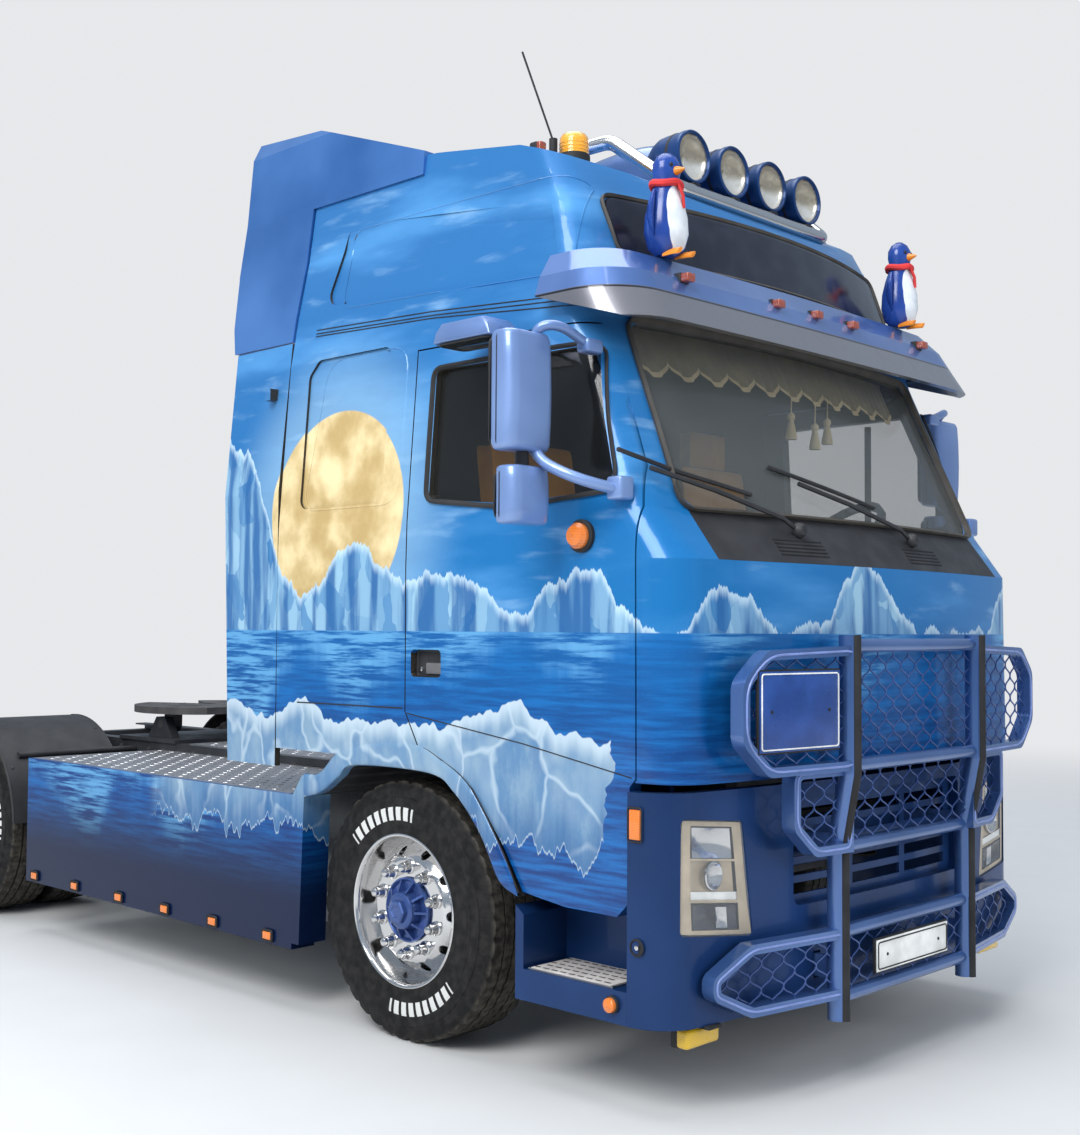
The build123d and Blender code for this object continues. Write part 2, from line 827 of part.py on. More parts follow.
def entry_step():
    front = -bumper_rear + fit_gap
    low = block((-bumper_half_width, -step_inner_x), (front, -step_rear), (bumper_bottom, step_tread))
    low = low - block((-bumper_half_width + 30, -step_inner_x + 30), (-bumper_rear, -step_rear - 30),
                      (bumper_bottom - 1, step_tread - 30))
    behind = side_face(((-step_rear - 40, step_tread), (-step_rear - 40, 600), (-step_rear, 630),
                        (-step_rear, step_tread)))
    rear = side_prism(behind, -bumper_half_width, -step_inner_x)
    wall = (-step_inner_x - 25, -step_inner_x)
    inner = block(wall, (front, -step_rear), (step_tread, cab_underside - fit_gap))
    shelf = block((-1130, -step_inner_x), (front, -step_rear - 60), (760, 790))
    return low + rear + inner + shelf


keep("entry_steps", pair(entry_step()))
keep("fenders", pair(fender()))
step_plate = block((-1225, -1010), (-1130, -step_rear - 55), (step_tread, step_tread + 6))


def skirt():
    panel = block((-skirt_x, -skirt_x + skirt_wall), (skirt_front, skirt_rear), (skirt_bottom, skirt_top))
    flange = side_prism(side_face(((skirt_front, 288), (skirt_front, skirt_top + 4), (skirt_front - 60, 994),
                                   (skirt_front - 78, 994), (skirt_front - 50, 288))), -skirt_x, -1090)
    lip = block((-skirt_x, -skirt_x + 120), (skirt_front, skirt_rear), (skirt_bottom, skirt_bottom + 15))
    return panel + flange + lip


keep("side_skirts", pair(skirt()))
deck_x = (-skirt_x + skirt_wall, -rail_outer_x)
deck = block(deck_x, (skirt_front + 60, skirt_rear), (skirt_top - 14, skirt_top))
tank = block((-1190, -560), (860, 2900), (300, skirt_top - 14))
tank = fillet(tank.edges().filter_by(Axis.Y), 90)
keep("side_tanks", tank + mirror(tank, about=Plane.YZ))
catwalk = block((-rail_outer_x, rail_outer_x), (1250, 2700), (rail_top, rail_top + 8))
keep("deck_plates", group(catwalk, pair(group(deck, step_plate))))
lamp_ys = (811, 1227, 1623, 2036, 2464, 2886)
skirt_lamps = [block((-skirt_x - 16, -skirt_x), (y - 32, y + 32), (278, 318)) for y in lamp_ys]


def rear_mudguard():
    ring = across(mudguard_radius, -1238, -565, wheelbase, tyre_radius)
    ring = ring - across(mudguard_radius - 8, -1300, -500, wheelbase, tyre_radius)
    covered = ((0, 0), (-900, 60), (-900, 800), (900, 800), (900, 60))
    keep_zone = side_face([(wheelbase + y, tyre_radius + z) for y, z in covered])
    ring = ring & side_prism(keep_zone, -1300, -500)
    for y in (wheelbase - 430, wheelbase + 430):
        z = tyre_radius + sqrt(mudguard_radius ** 2 - 430 ** 2) + 10
        ring = ring + across(18, -1150, -rail_outer_x, y, z)
    return ring


keep("rear_mudguards", pair(rear_mudguard()))
tail_depth = 20
rear_bar = block((-1150, 1150), (rear_end - 60, rear_end - tail_depth), (rail_top - 290, rail_top - 110))
keep("chassis_frame", chassis() + rear_bar)
tail = block((-1120, -680), (rear_end - tail_depth, rear_end), (rail_top - 280, rail_top - 120))
tail = fillet(tail.edges().filter_by(Axis.Y), 20)
keep("tail_lamps", tail + mirror(tail, about=Plane.YZ))

# Bull bar: two posts joined by rails, with three wings on each side, each turned back about its post
upper_wing = (
    # X, Z from the post outwards
    (440, 1560),
    (930, 1545),
    (1055, 1440),
    (1055, 1235),
    (925, 1121),
    (440, 1121),
)
middle_wing = (
    (440, 1137),
    (765, 1137),
    (765, 930),
    (650, 831),
    (440, 831),
)
lower_wing = (
    (440, 560),
    (915, 560),
    (1092, 470),
    (1092, 400),
    (915, 318),
    (440, 318),
)
wings = {
    # name: outline, angle back in degrees, middle Y, corner radius
    "upper": (upper_wing, 5.7, -bar_upper_y, 70),
    "middle": (middle_wing, 5.7, -bar_upper_y + 25, 50),
    "lower": (lower_wing, 9.5, -bar_lower_y, 45),
}
frame_depth = 56
frame_width = 34


def wing_face(name, inset=0):
    points = wings[name][0]
    face = make_face(Polyline(*[(-x, z) for x, z in points], close=True))
    outer = [v for v in face.vertices() if v.X < -600]
    face = fillet(outer, wings[name][3])
    return offset(face, amount=-inset) if inset else face


def wing_place(name):
    angle = wings[name][1]
    y = wings[name][2]
    return Pos(-bar_post_x, y, 0) * Rot(0, 0, -angle) * Pos(bar_post_x, -y, 0)


def wing_frame(name):
    y = wings[name][2]
    ring = wing_face(name) - wing_face(name, frame_width)
    return wing_place(name) * front_prism(ring, y - frame_depth / 2, y + frame_depth / 2)


post_line = (
    # Y, Z
    (-bar_upper_y, 1598),
    (-bar_upper_y, 1110),
    (-bar_lower_y, 850),
    (-bar_lower_y, 240),
)


rail_rows = (
    # height, Y
    (1560, -bar_upper_y),
    (1137, -bar_upper_y),
    (845, -bar_lower_y),
    (545, -bar_lower_y),
    (318, -bar_lower_y),
)


def bull_bar():
    frame = pipe([(-bar_post_x, y, z) for y, z in post_line], bar_radius)
    for name in wings:
        frame = frame + wing_frame(name)
    for z in (850, 420):
        stay = block((-bar_post_x - 12, -bar_post_x + 12), (-bar_lower_y, rail_front - 60), (z - 40, z + 40))
        frame = frame + stay
    frame = frame + mirror(frame, about=Plane.YZ)
    for z, y in rail_rows:
        frame = frame + across(rail_radius, -bar_post_x, bar_post_x, y, z)
    return frame


keep("bull_bar", bull_bar())
rubber = pipe([(-bar_post_x, y - bar_radius + 6, z) for y, z in post_line], 18)
keep("bar_rubbers", (rubber + mirror(rubber, about=Plane.YZ)) - nodes["bull_bar"])


# Mesh of slanted bars behind each frame of the bull bar
mesh_bar = 8
mesh_pitch_x = 150
mesh_pitch_z = 170


def mesh_panel(face, y):
    # Crossing slanted bars, trimmed to the outline
    box = face.bounding_box()
    low_x, high_x, low_z, high_z = box.min.X, box.max.X, box.min.Y, box.max.Y
    height = high_z - low_z
    run = height * mesh_pitch_x / mesh_pitch_z
    lines = None
    for lean in (-1, 1):
        start = low_x - run
        while start < high_x + run:
            ends = ((start, low_z - 1), (start + lean * run, high_z + 1))
            bar = make_face(Polyline(ends[0], (ends[0][0] + mesh_bar, ends[0][1]),
                                     (ends[1][0] + mesh_bar, ends[1][1]), ends[1], close=True))
            lines = bar if lines is None else lines + bar
            start += mesh_pitch_x
    border = face - offset(face, amount=-mesh_bar)
    return front_prism((lines & face) + border, y - mesh_bar / 2, y + mesh_bar / 2)


def wing_mesh(name):
    return wing_place(name) * mesh_panel(wing_face(name, frame_width + fit_gap), wings[name][2])


centre_frames = (
    # low height, high height, Y
    (1137, 1560, -bar_upper_y),
    (845, 1137, -bar_upper_y + 25),
    (318, 545, -bar_lower_y),
)


def centre_mesh():
    panels = []
    half = bar_post_x - bar_radius - fit_gap
    for low, high, y in centre_frames:
        face = Pos(0, (low + high) / 2) * Rectangle(2 * half, high - low - 2 * (rail_radius + fit_gap))
        panels.append(mesh_panel(face, y))
    return Compound(panels)


wing_panels = Compound([wing_mesh(name) for name in wings]) - nodes["bull_bar"]
keep("bar_mesh", group(centre_mesh(), pair(wing_panels)))


def mirror_head(x, y, z, corner, bevel):
    # A housing with round upright corners and bevelled ends
    head = fillet(block(x, y, z).edges().filter_by(Axis.Z), corner)
    ends = head.faces().filter_by(Axis.Z)
    return chamfer([edge for face in ends for edge in face.edges()], bevel)


upper_arm = (
    # X, Y, Z from the door outwards
    (-1190, -985, 2600),
    (-1300, -985, 2640),
    (-1390, -900, 2640),
    (-1390, -898, 2560),
)
lower_arm = (
    (-1244, -1150, 2090),
    (-1330, -1110, 2110),
    (-1400, -960, 2190),
    (-1400, -905, 2300),
)


def side_mirror():
    # Main and lower housings on a bent arm that stands out from the door
    main = mirror_head((-1555, -1335), (-960, -835), (2215, 2625), 38, 14)
    low = mirror_head((-1535, -1345), (-960, -845), (1965, 2165), 34, 14)
    arm = pipe(upper_arm, 17, 8)
    low_arm = pipe(lower_arm, 19, 8)
    stem = rod((-1440, -900, 2120), (-1440, -900, 2260), 22)
    foot = block((-1262, -1080), (-1190, -1120), (2050, 2130))
    head = block((-1235, -1080), (-1015, -955), (2575, 2625))
    return main + low + arm + low_arm + stem + foot + head - cab_outer


def kerb_mirror():
    # A downward mirror over the right-hand window, on two short stays
    hood = side_prism(side_face(((-700, 2650), (-660, 2725), (-440, 2725), (-400, 2650)), 20), -1410, -1245)
    for y in (-640, -500):
        hood = hood + block((-1260, -1080), (y, y + 40), (2660, 2690))
    return hood - cab_outer


door_mirrors = side_mirror()
keep("side_mirror_right", group(door_mirrors, kerb_mirror()))
keep("side_mirror_left", mirror(joined(door_mirrors), about=Plane.YZ))

# Inside of the cab
cabin = cab_form(cab_wall + fit_gap, roof_wall)
dash_half = 1085
dash_outline = (
    # Y, Z
    (-1700, cab_floor),
    (-1700, 1960),
    (-1150, 1985),
    (-960, 1960),
    (-900, 1860),
    (-960, 1560),
    (-1180, cab_floor),
)
keep("dashboard", cabin & side_prism(side_face(dash_outline), -dash_half, dash_half))


def steering_wheel():
    # A rim, two spokes and a column that runs down into the dashboard
    ring = extrude(RegularPolygon(234, 24) - RegularPolygon(204, 24), amount=14, both=True)
    spokes = block((-212, 212), (-18, 18), (-10, 8)) + rod((0, 0, -30), (0, 0, 16), 55)
    column = rod((0, 0, -260), (0, 0, -20), 28)
    return Pos(wheel_x, -850, 2020) * Rot(-38, 0, 0) * (ring + spokes + column)


keep("steering_wheel", steering_wheel() - nodes["dashboard"])
seat_half = 260
seat_outline = (
    # Y, Z: base, cushion and backrest
    (-620, cab_floor),
    (-620, 1690),
    (-690, 1730),
    (-680, 1830),
    (-250, 1800),
    (-150, 2380),
    (-120, 2560),
    (-20, 2560),
    (-40, 2300),
    (-90, 1800),
    (-170, 1690),
    (-200, cab_floor),
)
seat = side_prism(side_face(seat_outline), wheel_x - seat_half, wheel_x + seat_half)
seat = fillet(seat.edges().filter_by(Axis.X), 18)
keep("seats", seat + mirror(seat, about=Plane.YZ))
bunk = block((-1080, 1080), (60, 690), (cab_floor, 1980))
keep("bunk", fillet(bunk.edges().filter_by(Axis.X), 30))
pelmet_layer = Pos(0, cab_wall, 0) * cab_outer - Pos(0, cab_wall + 8, 0) * cab_outer
pelmet_zone = block((-940, 940), (-1700, -700), (2520, 2760))
keep("pelmet", pelmet_layer & pelmet_zone & cabin)

# Roof: lamp bar, four round lamps, the horn pod behind them, a beacon and two markers
bar_z = 3352
lamp_bar_radius = 30
bar_y = -835
lamp_xs = (-403, -135, 135, 403)
lamp_radius = 106
lamp_z = 3500
lamp_face_y = -822
bar_foot = (-640, -420, 3560)
bar_knee = (-600, -560, 3575)
bar_corner = (-519, bar_y, bar_z)
bar_half = (bar_foot, bar_knee, bar_corner)
bar_path = [*bar_half, *[(-x, y, z) for x, y, z in reversed(bar_half)]]


def lamp_bar():
    bar = pipe(bar_path, lamp_bar_radius)
    for x in (-300, 300):
        bar = bar + block((x - 20, x + 20), (bar_y, bar_y + 330), (bar_z - 14, bar_z + 4))
    for x in (-640, 640):
        bar = bar + block((x - 34, x + 34), (-470, -370), (3480, 3556))
    return bar - cab_outer


keep("lamp_bar", lamp_bar())


lamp_sections = (
    # distance behind the lamp's face, radius
    (0, lamp_radius),
    (122, lamp_radius),
    (182, 70),
    (202, 30),
)


def roof_lamp(x):
    shell = Pos(x, lamp_face_y, lamp_z) * Rot(0, 0, 90) * turned(lamp_sections, 32)
    foot_z = bar_z + lamp_bar_radius + fit_gap
    stem = block((x - 14, x + 14), (-800, -760), (foot_z, lamp_z - 80))
    foot = block((x - 22, x + 22), (bar_y - 12, -740), (foot_z, foot_z + 10))
    return shell + stem + foot


keep("roof_lamps", Compound([roof_lamp(x) for x in lamp_xs]) - cab_outer)
pod_outline = (
    # Y, Z
    (-600, 3300),
    (-600, 3590),
    (-530, 3670),
    (-380, 3695),
    (-150, 3680),
    (30, 3620),
    (30, 3300),
)
pod = side_prism(side_face(pod_outline), -330, 330)
pod = fillet(pod.edges().filter_by(Axis.X).group_by(Axis.Z)[-1], 30)
keep("roof_pod", pod - cab_outer)
roof_inside_z = 3300
beacon_x = -905
beacon_y = -640
beacon = Pos(beacon_x, beacon_y, roof_inside_z) * extrude(Circle(66), amount=140)
beacon = beacon + Pos(beacon_x, beacon_y, roof_inside_z + 140) * extrude(Circle(58), amount=70)
marker = block((-1000, -960), (-550, -490), (roof_inside_z, 3490))
roof_markers = pair(marker) - cab_outer
antenna_foot = (-1000, -620, 3460)
antenna_tip = (-1110, -560, 3790)
antenna = Pos(-1000, -620, roof_inside_z) * extrude(Circle(16), amount=170)
antenna = antenna + rod(antenna_foot, antenna_tip, 4)
keep("antenna", antenna - cab_outer)

# Marker lamps on the visor and the ornaments that stand on it
visor_lamp_xs = (-840, -269, 0, 269, 840)
visor_lamps = Compound([block((x - 26, x + 26), (-1165, -1060), (2862, 2902)) for x in visor_lamp_xs])
visor_lamps = visor_lamps - visor_form()
keep("marker_lamps", group(visor_lamps, roof_markers, beacon - cab_outer, pair(group(*skirt_lamps))))
ornament_x = 833


bird_sections = (
    # height, radius
    (2990, 58),
    (3060, 82),
    (3150, 84),
    (3235, 52),
    (3262, 46),
    (3310, 60),
    (3352, 48),
    (3374, 16),
)


def ornament(x):
    # A plain standing bird: body and head in one, a beak and a foot plate
    body = Pos(0, -1018, 0) * Rot(0, -90, 0) * turned(bird_sections, 12)
    beak = block((-13, 13), (-1112, -1040), (3290, 3314))
    foot = block((-60, 60), (-1085, -960), (2960, 3000))
    return Pos(x, 0, 0) * (body + beak + foot)


figures = ornament(-ornament_x) + ornament(ornament_x)
keep("ornaments", figures - visor_form() - Pos(0, -13, 0) * cab_outer)

for name, shape in nodes.items():
    moved = shape.moved(shift)
    moved.label = name
    export_step(moved, "parts/" + name + ".step")
print(len(nodes), "nodes")
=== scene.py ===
import json
import math
import bmesh
import bpy
from mathutils import Matrix, Vector
from mathutils.bvhtree import BVHTree


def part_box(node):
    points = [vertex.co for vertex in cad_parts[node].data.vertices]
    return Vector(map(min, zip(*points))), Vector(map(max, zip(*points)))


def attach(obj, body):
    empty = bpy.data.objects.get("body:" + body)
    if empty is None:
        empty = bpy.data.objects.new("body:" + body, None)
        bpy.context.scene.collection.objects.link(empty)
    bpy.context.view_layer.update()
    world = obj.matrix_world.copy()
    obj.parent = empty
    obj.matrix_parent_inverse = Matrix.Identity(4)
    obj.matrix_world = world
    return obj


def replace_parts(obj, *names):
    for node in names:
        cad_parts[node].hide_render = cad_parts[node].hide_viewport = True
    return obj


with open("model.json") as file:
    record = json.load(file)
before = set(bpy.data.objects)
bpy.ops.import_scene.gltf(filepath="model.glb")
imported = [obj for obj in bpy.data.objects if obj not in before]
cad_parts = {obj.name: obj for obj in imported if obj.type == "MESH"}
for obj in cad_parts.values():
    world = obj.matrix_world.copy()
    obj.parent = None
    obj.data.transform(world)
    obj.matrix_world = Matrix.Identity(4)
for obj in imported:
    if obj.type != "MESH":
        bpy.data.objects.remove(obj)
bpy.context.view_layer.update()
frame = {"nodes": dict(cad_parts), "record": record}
scene = bpy.context.scene
scene.view_settings.view_transform = "Standard"

# The two axles' places in the row frame; most sizes below are counted from the front one
axleY = -1.51
rearAxleY = 2.19
hubZ = 0.507
doors = ("door_right", "door_left")
bothTruck = ("truck", "truck")
sides = ((-1, "right"), (1, "left"))

# Camera
camera = bpy.data.objects.new("camera", bpy.data.cameras.new("camera"))
scene.collection.objects.link(camera)
yaw, pitch, roll = 0.805156, 0.042453, 0.0061178
forward = Vector((math.sin(yaw) * math.cos(pitch), math.cos(yaw) * math.cos(pitch), math.sin(pitch)))
right = Vector((math.cos(yaw), -math.sin(yaw), 0))
up = right.cross(forward)
rightRolled = math.cos(roll) * right + math.sin(roll) * up
upRolled = math.cos(roll) * up - math.sin(roll) * right
camera.matrix_world = Matrix.Translation((-4.93004, -5.85134, 1.61216)) @ Matrix(
    (rightRolled, upRolled, -forward)).transposed().to_4x4()
camera.data.sensor_width = 36
camera.data.lens = 45.855
camera.data.clip_end = 200
scene.camera = camera


def opaque(color):
    return (*color, 1) if isinstance(color, tuple) else color


# Node graphs for materials
class Graph:
    def __init__(self, name):
        self.material = bpy.data.materials.new(name)
        self.material.use_nodes = True
        self.tree = self.material.node_tree
        self.shader = self.tree.nodes["Principled BSDF"]
        coordinates = self.tree.nodes.new("ShaderNodeTexCoord")
        self.position = coordinates.outputs["Object"]
        split = self.tree.nodes.new("ShaderNodeSeparateXYZ")
        self.tree.links.new(self.position, split.inputs[0])
        self.x, self.y, self.z = split.outputs

    def put(self, socket, value):
        if isinstance(value, bpy.types.NodeSocket):
            self.tree.links.new(value, socket)
        elif value is not None:
            socket.default_value = value

    def node(self, kind, inputs, **settings):
        made = self.tree.nodes.new(kind)
        for key, value in settings.items():
            setattr(made, key, value)
        for key, value in inputs.items():
            self.put(made.inputs[key], value)
        return made

    def math(self, operation, first, second=None):
        return self.node("ShaderNodeMath", {0: first, 1: second}, operation=operation).outputs[0]

    def add(self, first, second):
        return self.math("ADD", first, second)

    def less(self, first, second):
        return self.math("SUBTRACT", first, second)

    def times(self, first, second):
        return self.math("MULTIPLY", first, second)

    def vector(self, operation, inputs, output=0):
        return self.node("ShaderNodeVectorMath", inputs, operation=operation).outputs[output]

    def step(self, value, low, high, fromValue=0, toValue=1):
        inputs = {0: value, 1: low, 2: high, 3: fromValue, 4: toValue}
        return self.node("ShaderNodeMapRange", inputs, interpolation_type="SMOOTHSTEP").outputs[0]

    def mix(self, factor, first, second):
        inputs = {0: factor, 6: opaque(first), 7: opaque(second)}
        return self.node("ShaderNodeMix", inputs, data_type="RGBA").outputs[2]

    def over(self, under, color, value, *limits):
        # Lays a color over another as a value passes from one limit to the next
        return self.mix(self.step(value, *limits), under, color)

    def scaled(self, factors):
        return self.node("ShaderNodeMapping", {0: self.position, 3: factors}).outputs[0]

    def noise(self, scale, detail=2, vector=None, roughness=0.5, output=0):
        return self.node("ShaderNodeTexNoise", {"Vector": vector or self.position, "Scale": scale,
                                                "Detail": detail, "Roughness": roughness}).outputs[output]

    def waves(self, scale, distortion, direction):
        inputs = {"Vector": self.position, "Scale": scale, "Distortion": distortion}
        return self.node("ShaderNodeTexWave", inputs, bands_direction=direction).outputs[1]

    def cells(self, scale, vector=None, feature="F1", output="Color"):
        return self.node("ShaderNodeTexVoronoi", {"Vector": vector or self.position, "Scale": scale},
                         feature=feature).outputs[output]

    def warped(self, factors, scale, amount):
        # Stretched coordinates, bent by a noise
        pushed = self.vector("SCALE", {0: self.noise(scale, 3, output=1), 3: amount})
        return self.vector("ADD", {0: self.scaled(factors), 1: pushed})

    def facing(self, centre):
        # Positive where a surface looks away from centre
        normal = self.node("ShaderNodeNewGeometry", {}).outputs["Normal"]
        away = self.vector("SUBTRACT", {0: self.position, 1: centre})
        return self.vector("DOT_PRODUCT", {0: normal, 1: away}, 1)

    def bump(self, height, strength, distance):
        made = self.node("ShaderNodeBump", {"Height": height, "Strength": strength, "Distance": distance})
        self.put(self.shader.inputs["Normal"], made.outputs[0])

    def finish(self, color, **values):
        self.put(self.shader.inputs["Base Color"], opaque(color))
        for key, value in values.items():
            self.put(self.shader.inputs[key.replace("_", " ")], value)
        return self.material


def paint(name, dark, light, metallic=0.55, rough=0.32, coat=0.8, gloss=0.5):
    g = Graph(name)
    flake = g.noise(900, 1)
    cloud = g.noise(1.4, 3)
    color = g.over(dark, light, cloud, 0.3, 0.7)
    color = g.over(color, tuple(min(1, c * 1.9 + 0.03) for c in light), flake, 0.62, 0.75, 0, 0.35)
    dust = g.step(g.noise(22, 4), 0.45, 0.8, 0, 0.06)
    g.bump(g.noise(260, 2), 0.03, 0.0005)
    return g.finish(color, Roughness=g.add(dust, rough), Metallic=metallic, Coat_Weight=coat,
                    Coat_Roughness=0.06, Specular_IOR_Level=gloss)


def plastic(name, color, rough=0.55, grain=500, depth=0.25):
    g = Graph(name)
    tone = g.over(color, tuple(c * 1.35 + 0.004 for c in color), g.noise(9, 4), 0.35, 0.7)
    g.bump(g.noise(grain, 3), depth, 0.0004)
    return g.finish(tone, Roughness=g.step(g.noise(14, 3), 0.2, 0.8, rough - 0.06, rough + 0.08))


def metal(name, color, rough=0.2, grain=40, streak=(1, 1, 30)):
    g = Graph(name)
    lines = g.noise(grain, 4, g.scaled(streak))
    tone = g.over(tuple(c * 0.86 for c in color), color, lines, 0.3, 0.7)
    g.bump(lines, 0.05, 0.0004)
    return g.finish(tone, Metallic=1, Roughness=g.step(lines, 0.25, 0.75, rough * 0.7, rough * 1.5))


def glass(name, color, rough=0.03, alpha=0.25):
    g = Graph(name)
    smear = g.noise(6, 4)
    tone = g.over(color, tuple(c * 0.9 for c in color), smear, 0.3, 0.8)
    return g.finish(tone, Roughness=g.step(smear, 0.4, 0.8, rough, rough + 0.05), Alpha=alpha,
                    Specular_IOR_Level=0.8)


def lens(name, color, rough=0.12, alpha=0.85):
    g = Graph(name)
    ribs = g.waves(60, 0.0, "Z")
    tone = g.mix(ribs, color, tuple(min(1, c * 1.3 + 0.02) for c in color))
    g.bump(ribs, 0.35, 0.002)
    return g.finish(tone, Roughness=rough, Alpha=alpha, Coat_Weight=1.0, Coat_Roughness=0.03)


def cloth(name, dark, light, thread):
    g = Graph(name)
    warp = g.waves(thread, 0.4, "X")
    weft = g.waves(thread, 0.4, "Z")
    weave = g.math("MAXIMUM", warp, weft)
    tone = g.over(dark, light, g.noise(7, 5), 0.3, 0.72)
    tone = g.mix(g.times(weave, 0.3), tone, tuple(c * 0.6 for c in dark))
    g.bump(weave, 0.5, 0.0006)
    return g.finish(tone, Roughness=0.85, Sheen_Weight=0.3, Sheen_Roughness=0.5)


# The cab's painted scene is a generic one: sky over ice cliffs, dark water and a pale floe, with a low sun
muralPlan = {
    "waterline": 1.6, "sunY": -1.13, "sunZ": 2.08, "sunRadius": 0.43, "haloReach": 1.9,
    "floeTop": 1.27, "floeFoot": 0.86, "skirtDrop": 0.1, "floeFront": -2.595, "cabMiddle": (0.0, -1.9, 2.3),
}


def mural(name, skirt=False):
    g = Graph(name)
    plan = muralPlan
    radius = plan["sunRadius"]
    flat = g.scaled((1, 1, 0))
    # Sky with long soft streaks
    streaks = g.noise(1.3, 4, g.scaled((0.8, 0.8, 3.2)))
    sky = g.over((0.006, 0.148, 0.4), (0.022, 0.142, 0.37), g.z, 1.6, 3.3)
    sky = g.over(sky, (0.1, 0.34, 0.68), streaks, 0.46, 0.78, 0, 0.65)
    sky = g.over(sky, (0.34, 0.56, 0.78), g.noise(2.6, 4, g.scaled((1, 1, 5))), 0.56, 0.8, 0, 0.45)
    # A cream disc with a soft halo
    away = g.math("POWER", g.less(g.y, plan["sunY"]), 2)
    away = g.add(away, g.math("POWER", g.less(g.z, plan["sunZ"]), 2))
    away = g.math("SQRT", away)
    sky = g.over(sky, (0.3, 0.5, 0.66), away, radius * plan["haloReach"], radius, 0, 0.5)
    disc = g.over((0.5, 0.35, 0.14), (0.84, 0.68, 0.38), g.noise(5, 5), 0.35, 0.68)
    sky = g.over(sky, disc, away, radius + 0.004, radius - 0.004)
    # Far cliffs: a jagged skyline, tall towards the cab's rear
    jagged = g.less(g.noise(8, 5, flat, 0.68), 0.5)
    height = g.times(g.math("MAXIMUM", g.less(g.noise(2.1, 0, flat), 0.4), 0.02), 0.85)
    height = g.add(height, g.times(jagged, 0.22))
    height = g.add(height, g.step(g.y, -0.95, -0.45, 0, 0.78))
    above = g.less(g.z, plan["waterline"])
    under = g.less(height, above)
    facet = g.cells(9, g.warped((1.5, 1.5, 0.5), 4, 0.28))
    drips = g.noise(15, 3, g.scaled((1, 1, 0.1)))
    ice = g.mix(facet, (0.04, 0.19, 0.42), (0.34, 0.55, 0.68))
    ice = g.over(ice, (0.01, 0.1, 0.3), drips, 0.4, 0.62, 0, 0.85)
    ice = g.over(ice, (0.58, 0.74, 0.82), under, 0.0, 0.05, 0.7, 0)
    land = g.times(g.step(under, -0.002, 0.006), g.step(above, -0.003, 0.003))
    scenery = g.mix(land, sky, ice)
    # Water with fine level streaks and the cliffs' broken reflection
    ripples = g.noise(3.2, 5, g.scaled((1, 1, 14)), 0.62)
    sea = g.over((0.001, 0.035, 0.17), (0.004, 0.125, 0.4), ripples, 0.34, 0.72)
    sea = g.over(sea, (0.006, 0.16, 0.46), above, -0.55, 0.0, 0.0, 0.5)
    reflected = g.add(height, above)
    broken = g.times(g.step(reflected, -0.02, 0.2, 0, 0.75), g.step(ripples, 0.42, 0.58))
    sea = g.mix(broken, sea, (0.14, 0.4, 0.66))
    if skirt:
        sea = g.over(sea, (0.001, 0.008, 0.04), g.z, 0.85, 0.45)
    scenery = g.over(scenery, sea, above, 0.002, -0.002)
    # Near floe: bent pale facets with a ragged foot
    uneven = g.less(g.noise(2.6, 4, flat, 0.6), 0.5)
    top = g.add(g.times(uneven, 0.42), plan["floeTop"])
    ragged = g.less(g.noise(4.5, 4, flat, 0.7), 0.5)
    foot = g.add(g.times(ragged, 0.62), plan["floeFoot"] - (plan["skirtDrop"] if skirt else 0))
    bent = g.warped((1.0, 1.0, 0.7), 2.3, 0.42)
    floe = g.mix(g.cells(4.0, bent), (0.055, 0.17, 0.36), (0.4, 0.52, 0.6))
    floe = g.over(floe, (0.1, 0.24, 0.42), g.cells(9.0, bent, output="Distance"), 0.15, 0.75, 0, 0.6)
    floe = g.over(floe, (0.27, 0.4, 0.5), g.noise(7, 6, g.scaled((1, 1, 0.45)), 0.7), 0.42, 0.64, 0, 0.75)
    cracks = g.cells(4.0, bent, "DISTANCE_TO_EDGE", "Distance")
    floe = g.over(floe, (0.58, 0.7, 0.76), cracks, 0.06, 0.0, 0, 0.6)
    rim = g.less(top, g.z)
    floe = g.over(floe, (0.62, 0.73, 0.78), rim, 0.0, 0.09, 0.85, 0)
    floe = g.over(floe, (0.015, 0.1, 0.27), g.less(g.z, foot), 0.2, 0.0, 0, 0.75)
    floe = g.over(floe, (0.55, 0.66, 0.7), g.less(g.z, foot), 0.012, 0.0, 0, 0.8)
    floe = g.mix(0.16, floe, (0.02, 0.1, 0.24))
    band = g.times(g.step(rim, -0.003, 0.003), g.step(g.less(g.z, foot), -0.004, 0.004))
    wander = g.times(g.less(g.noise(3.0, 4, g.scaled((0, 0, 1)), 0.6), 0.5), 0.35)
    front = g.add(g.y, wander)
    along = g.times(g.step(front, plan["floeFront"], plan["floeFront"] + 0.005), g.step(g.y, 0.3, 0.1))
    scenery = g.mix(g.times(band, along), scenery, floe)
    # Faces that look straight back or up keep the plain blue
    normal = g.node("ShaderNodeNewGeometry", {}).outputs["Normal"]
    facing = g.node("ShaderNodeSeparateXYZ", {0: normal}).outputs
    plain = g.over((0.008, 0.06, 0.23), (0.022, 0.125, 0.4), g.z, 0.9, 3.4)
    plain = g.over(plain, (0.05, 0.22, 0.52), streaks, 0.46, 0.78, 0, 0.35)
    away = g.math("MAXIMUM", g.step(facing[1], 0.8, 0.9), g.step(facing[2], 0.9, 0.97))
    scenery = g.mix(away, scenery, plain)
    scenery = g.over(scenery, (0.5, 0.7, 0.9), g.noise(900, 1), 0.62, 0.75, 0, 0.1)
    roughness = 0.3
    if not skirt:
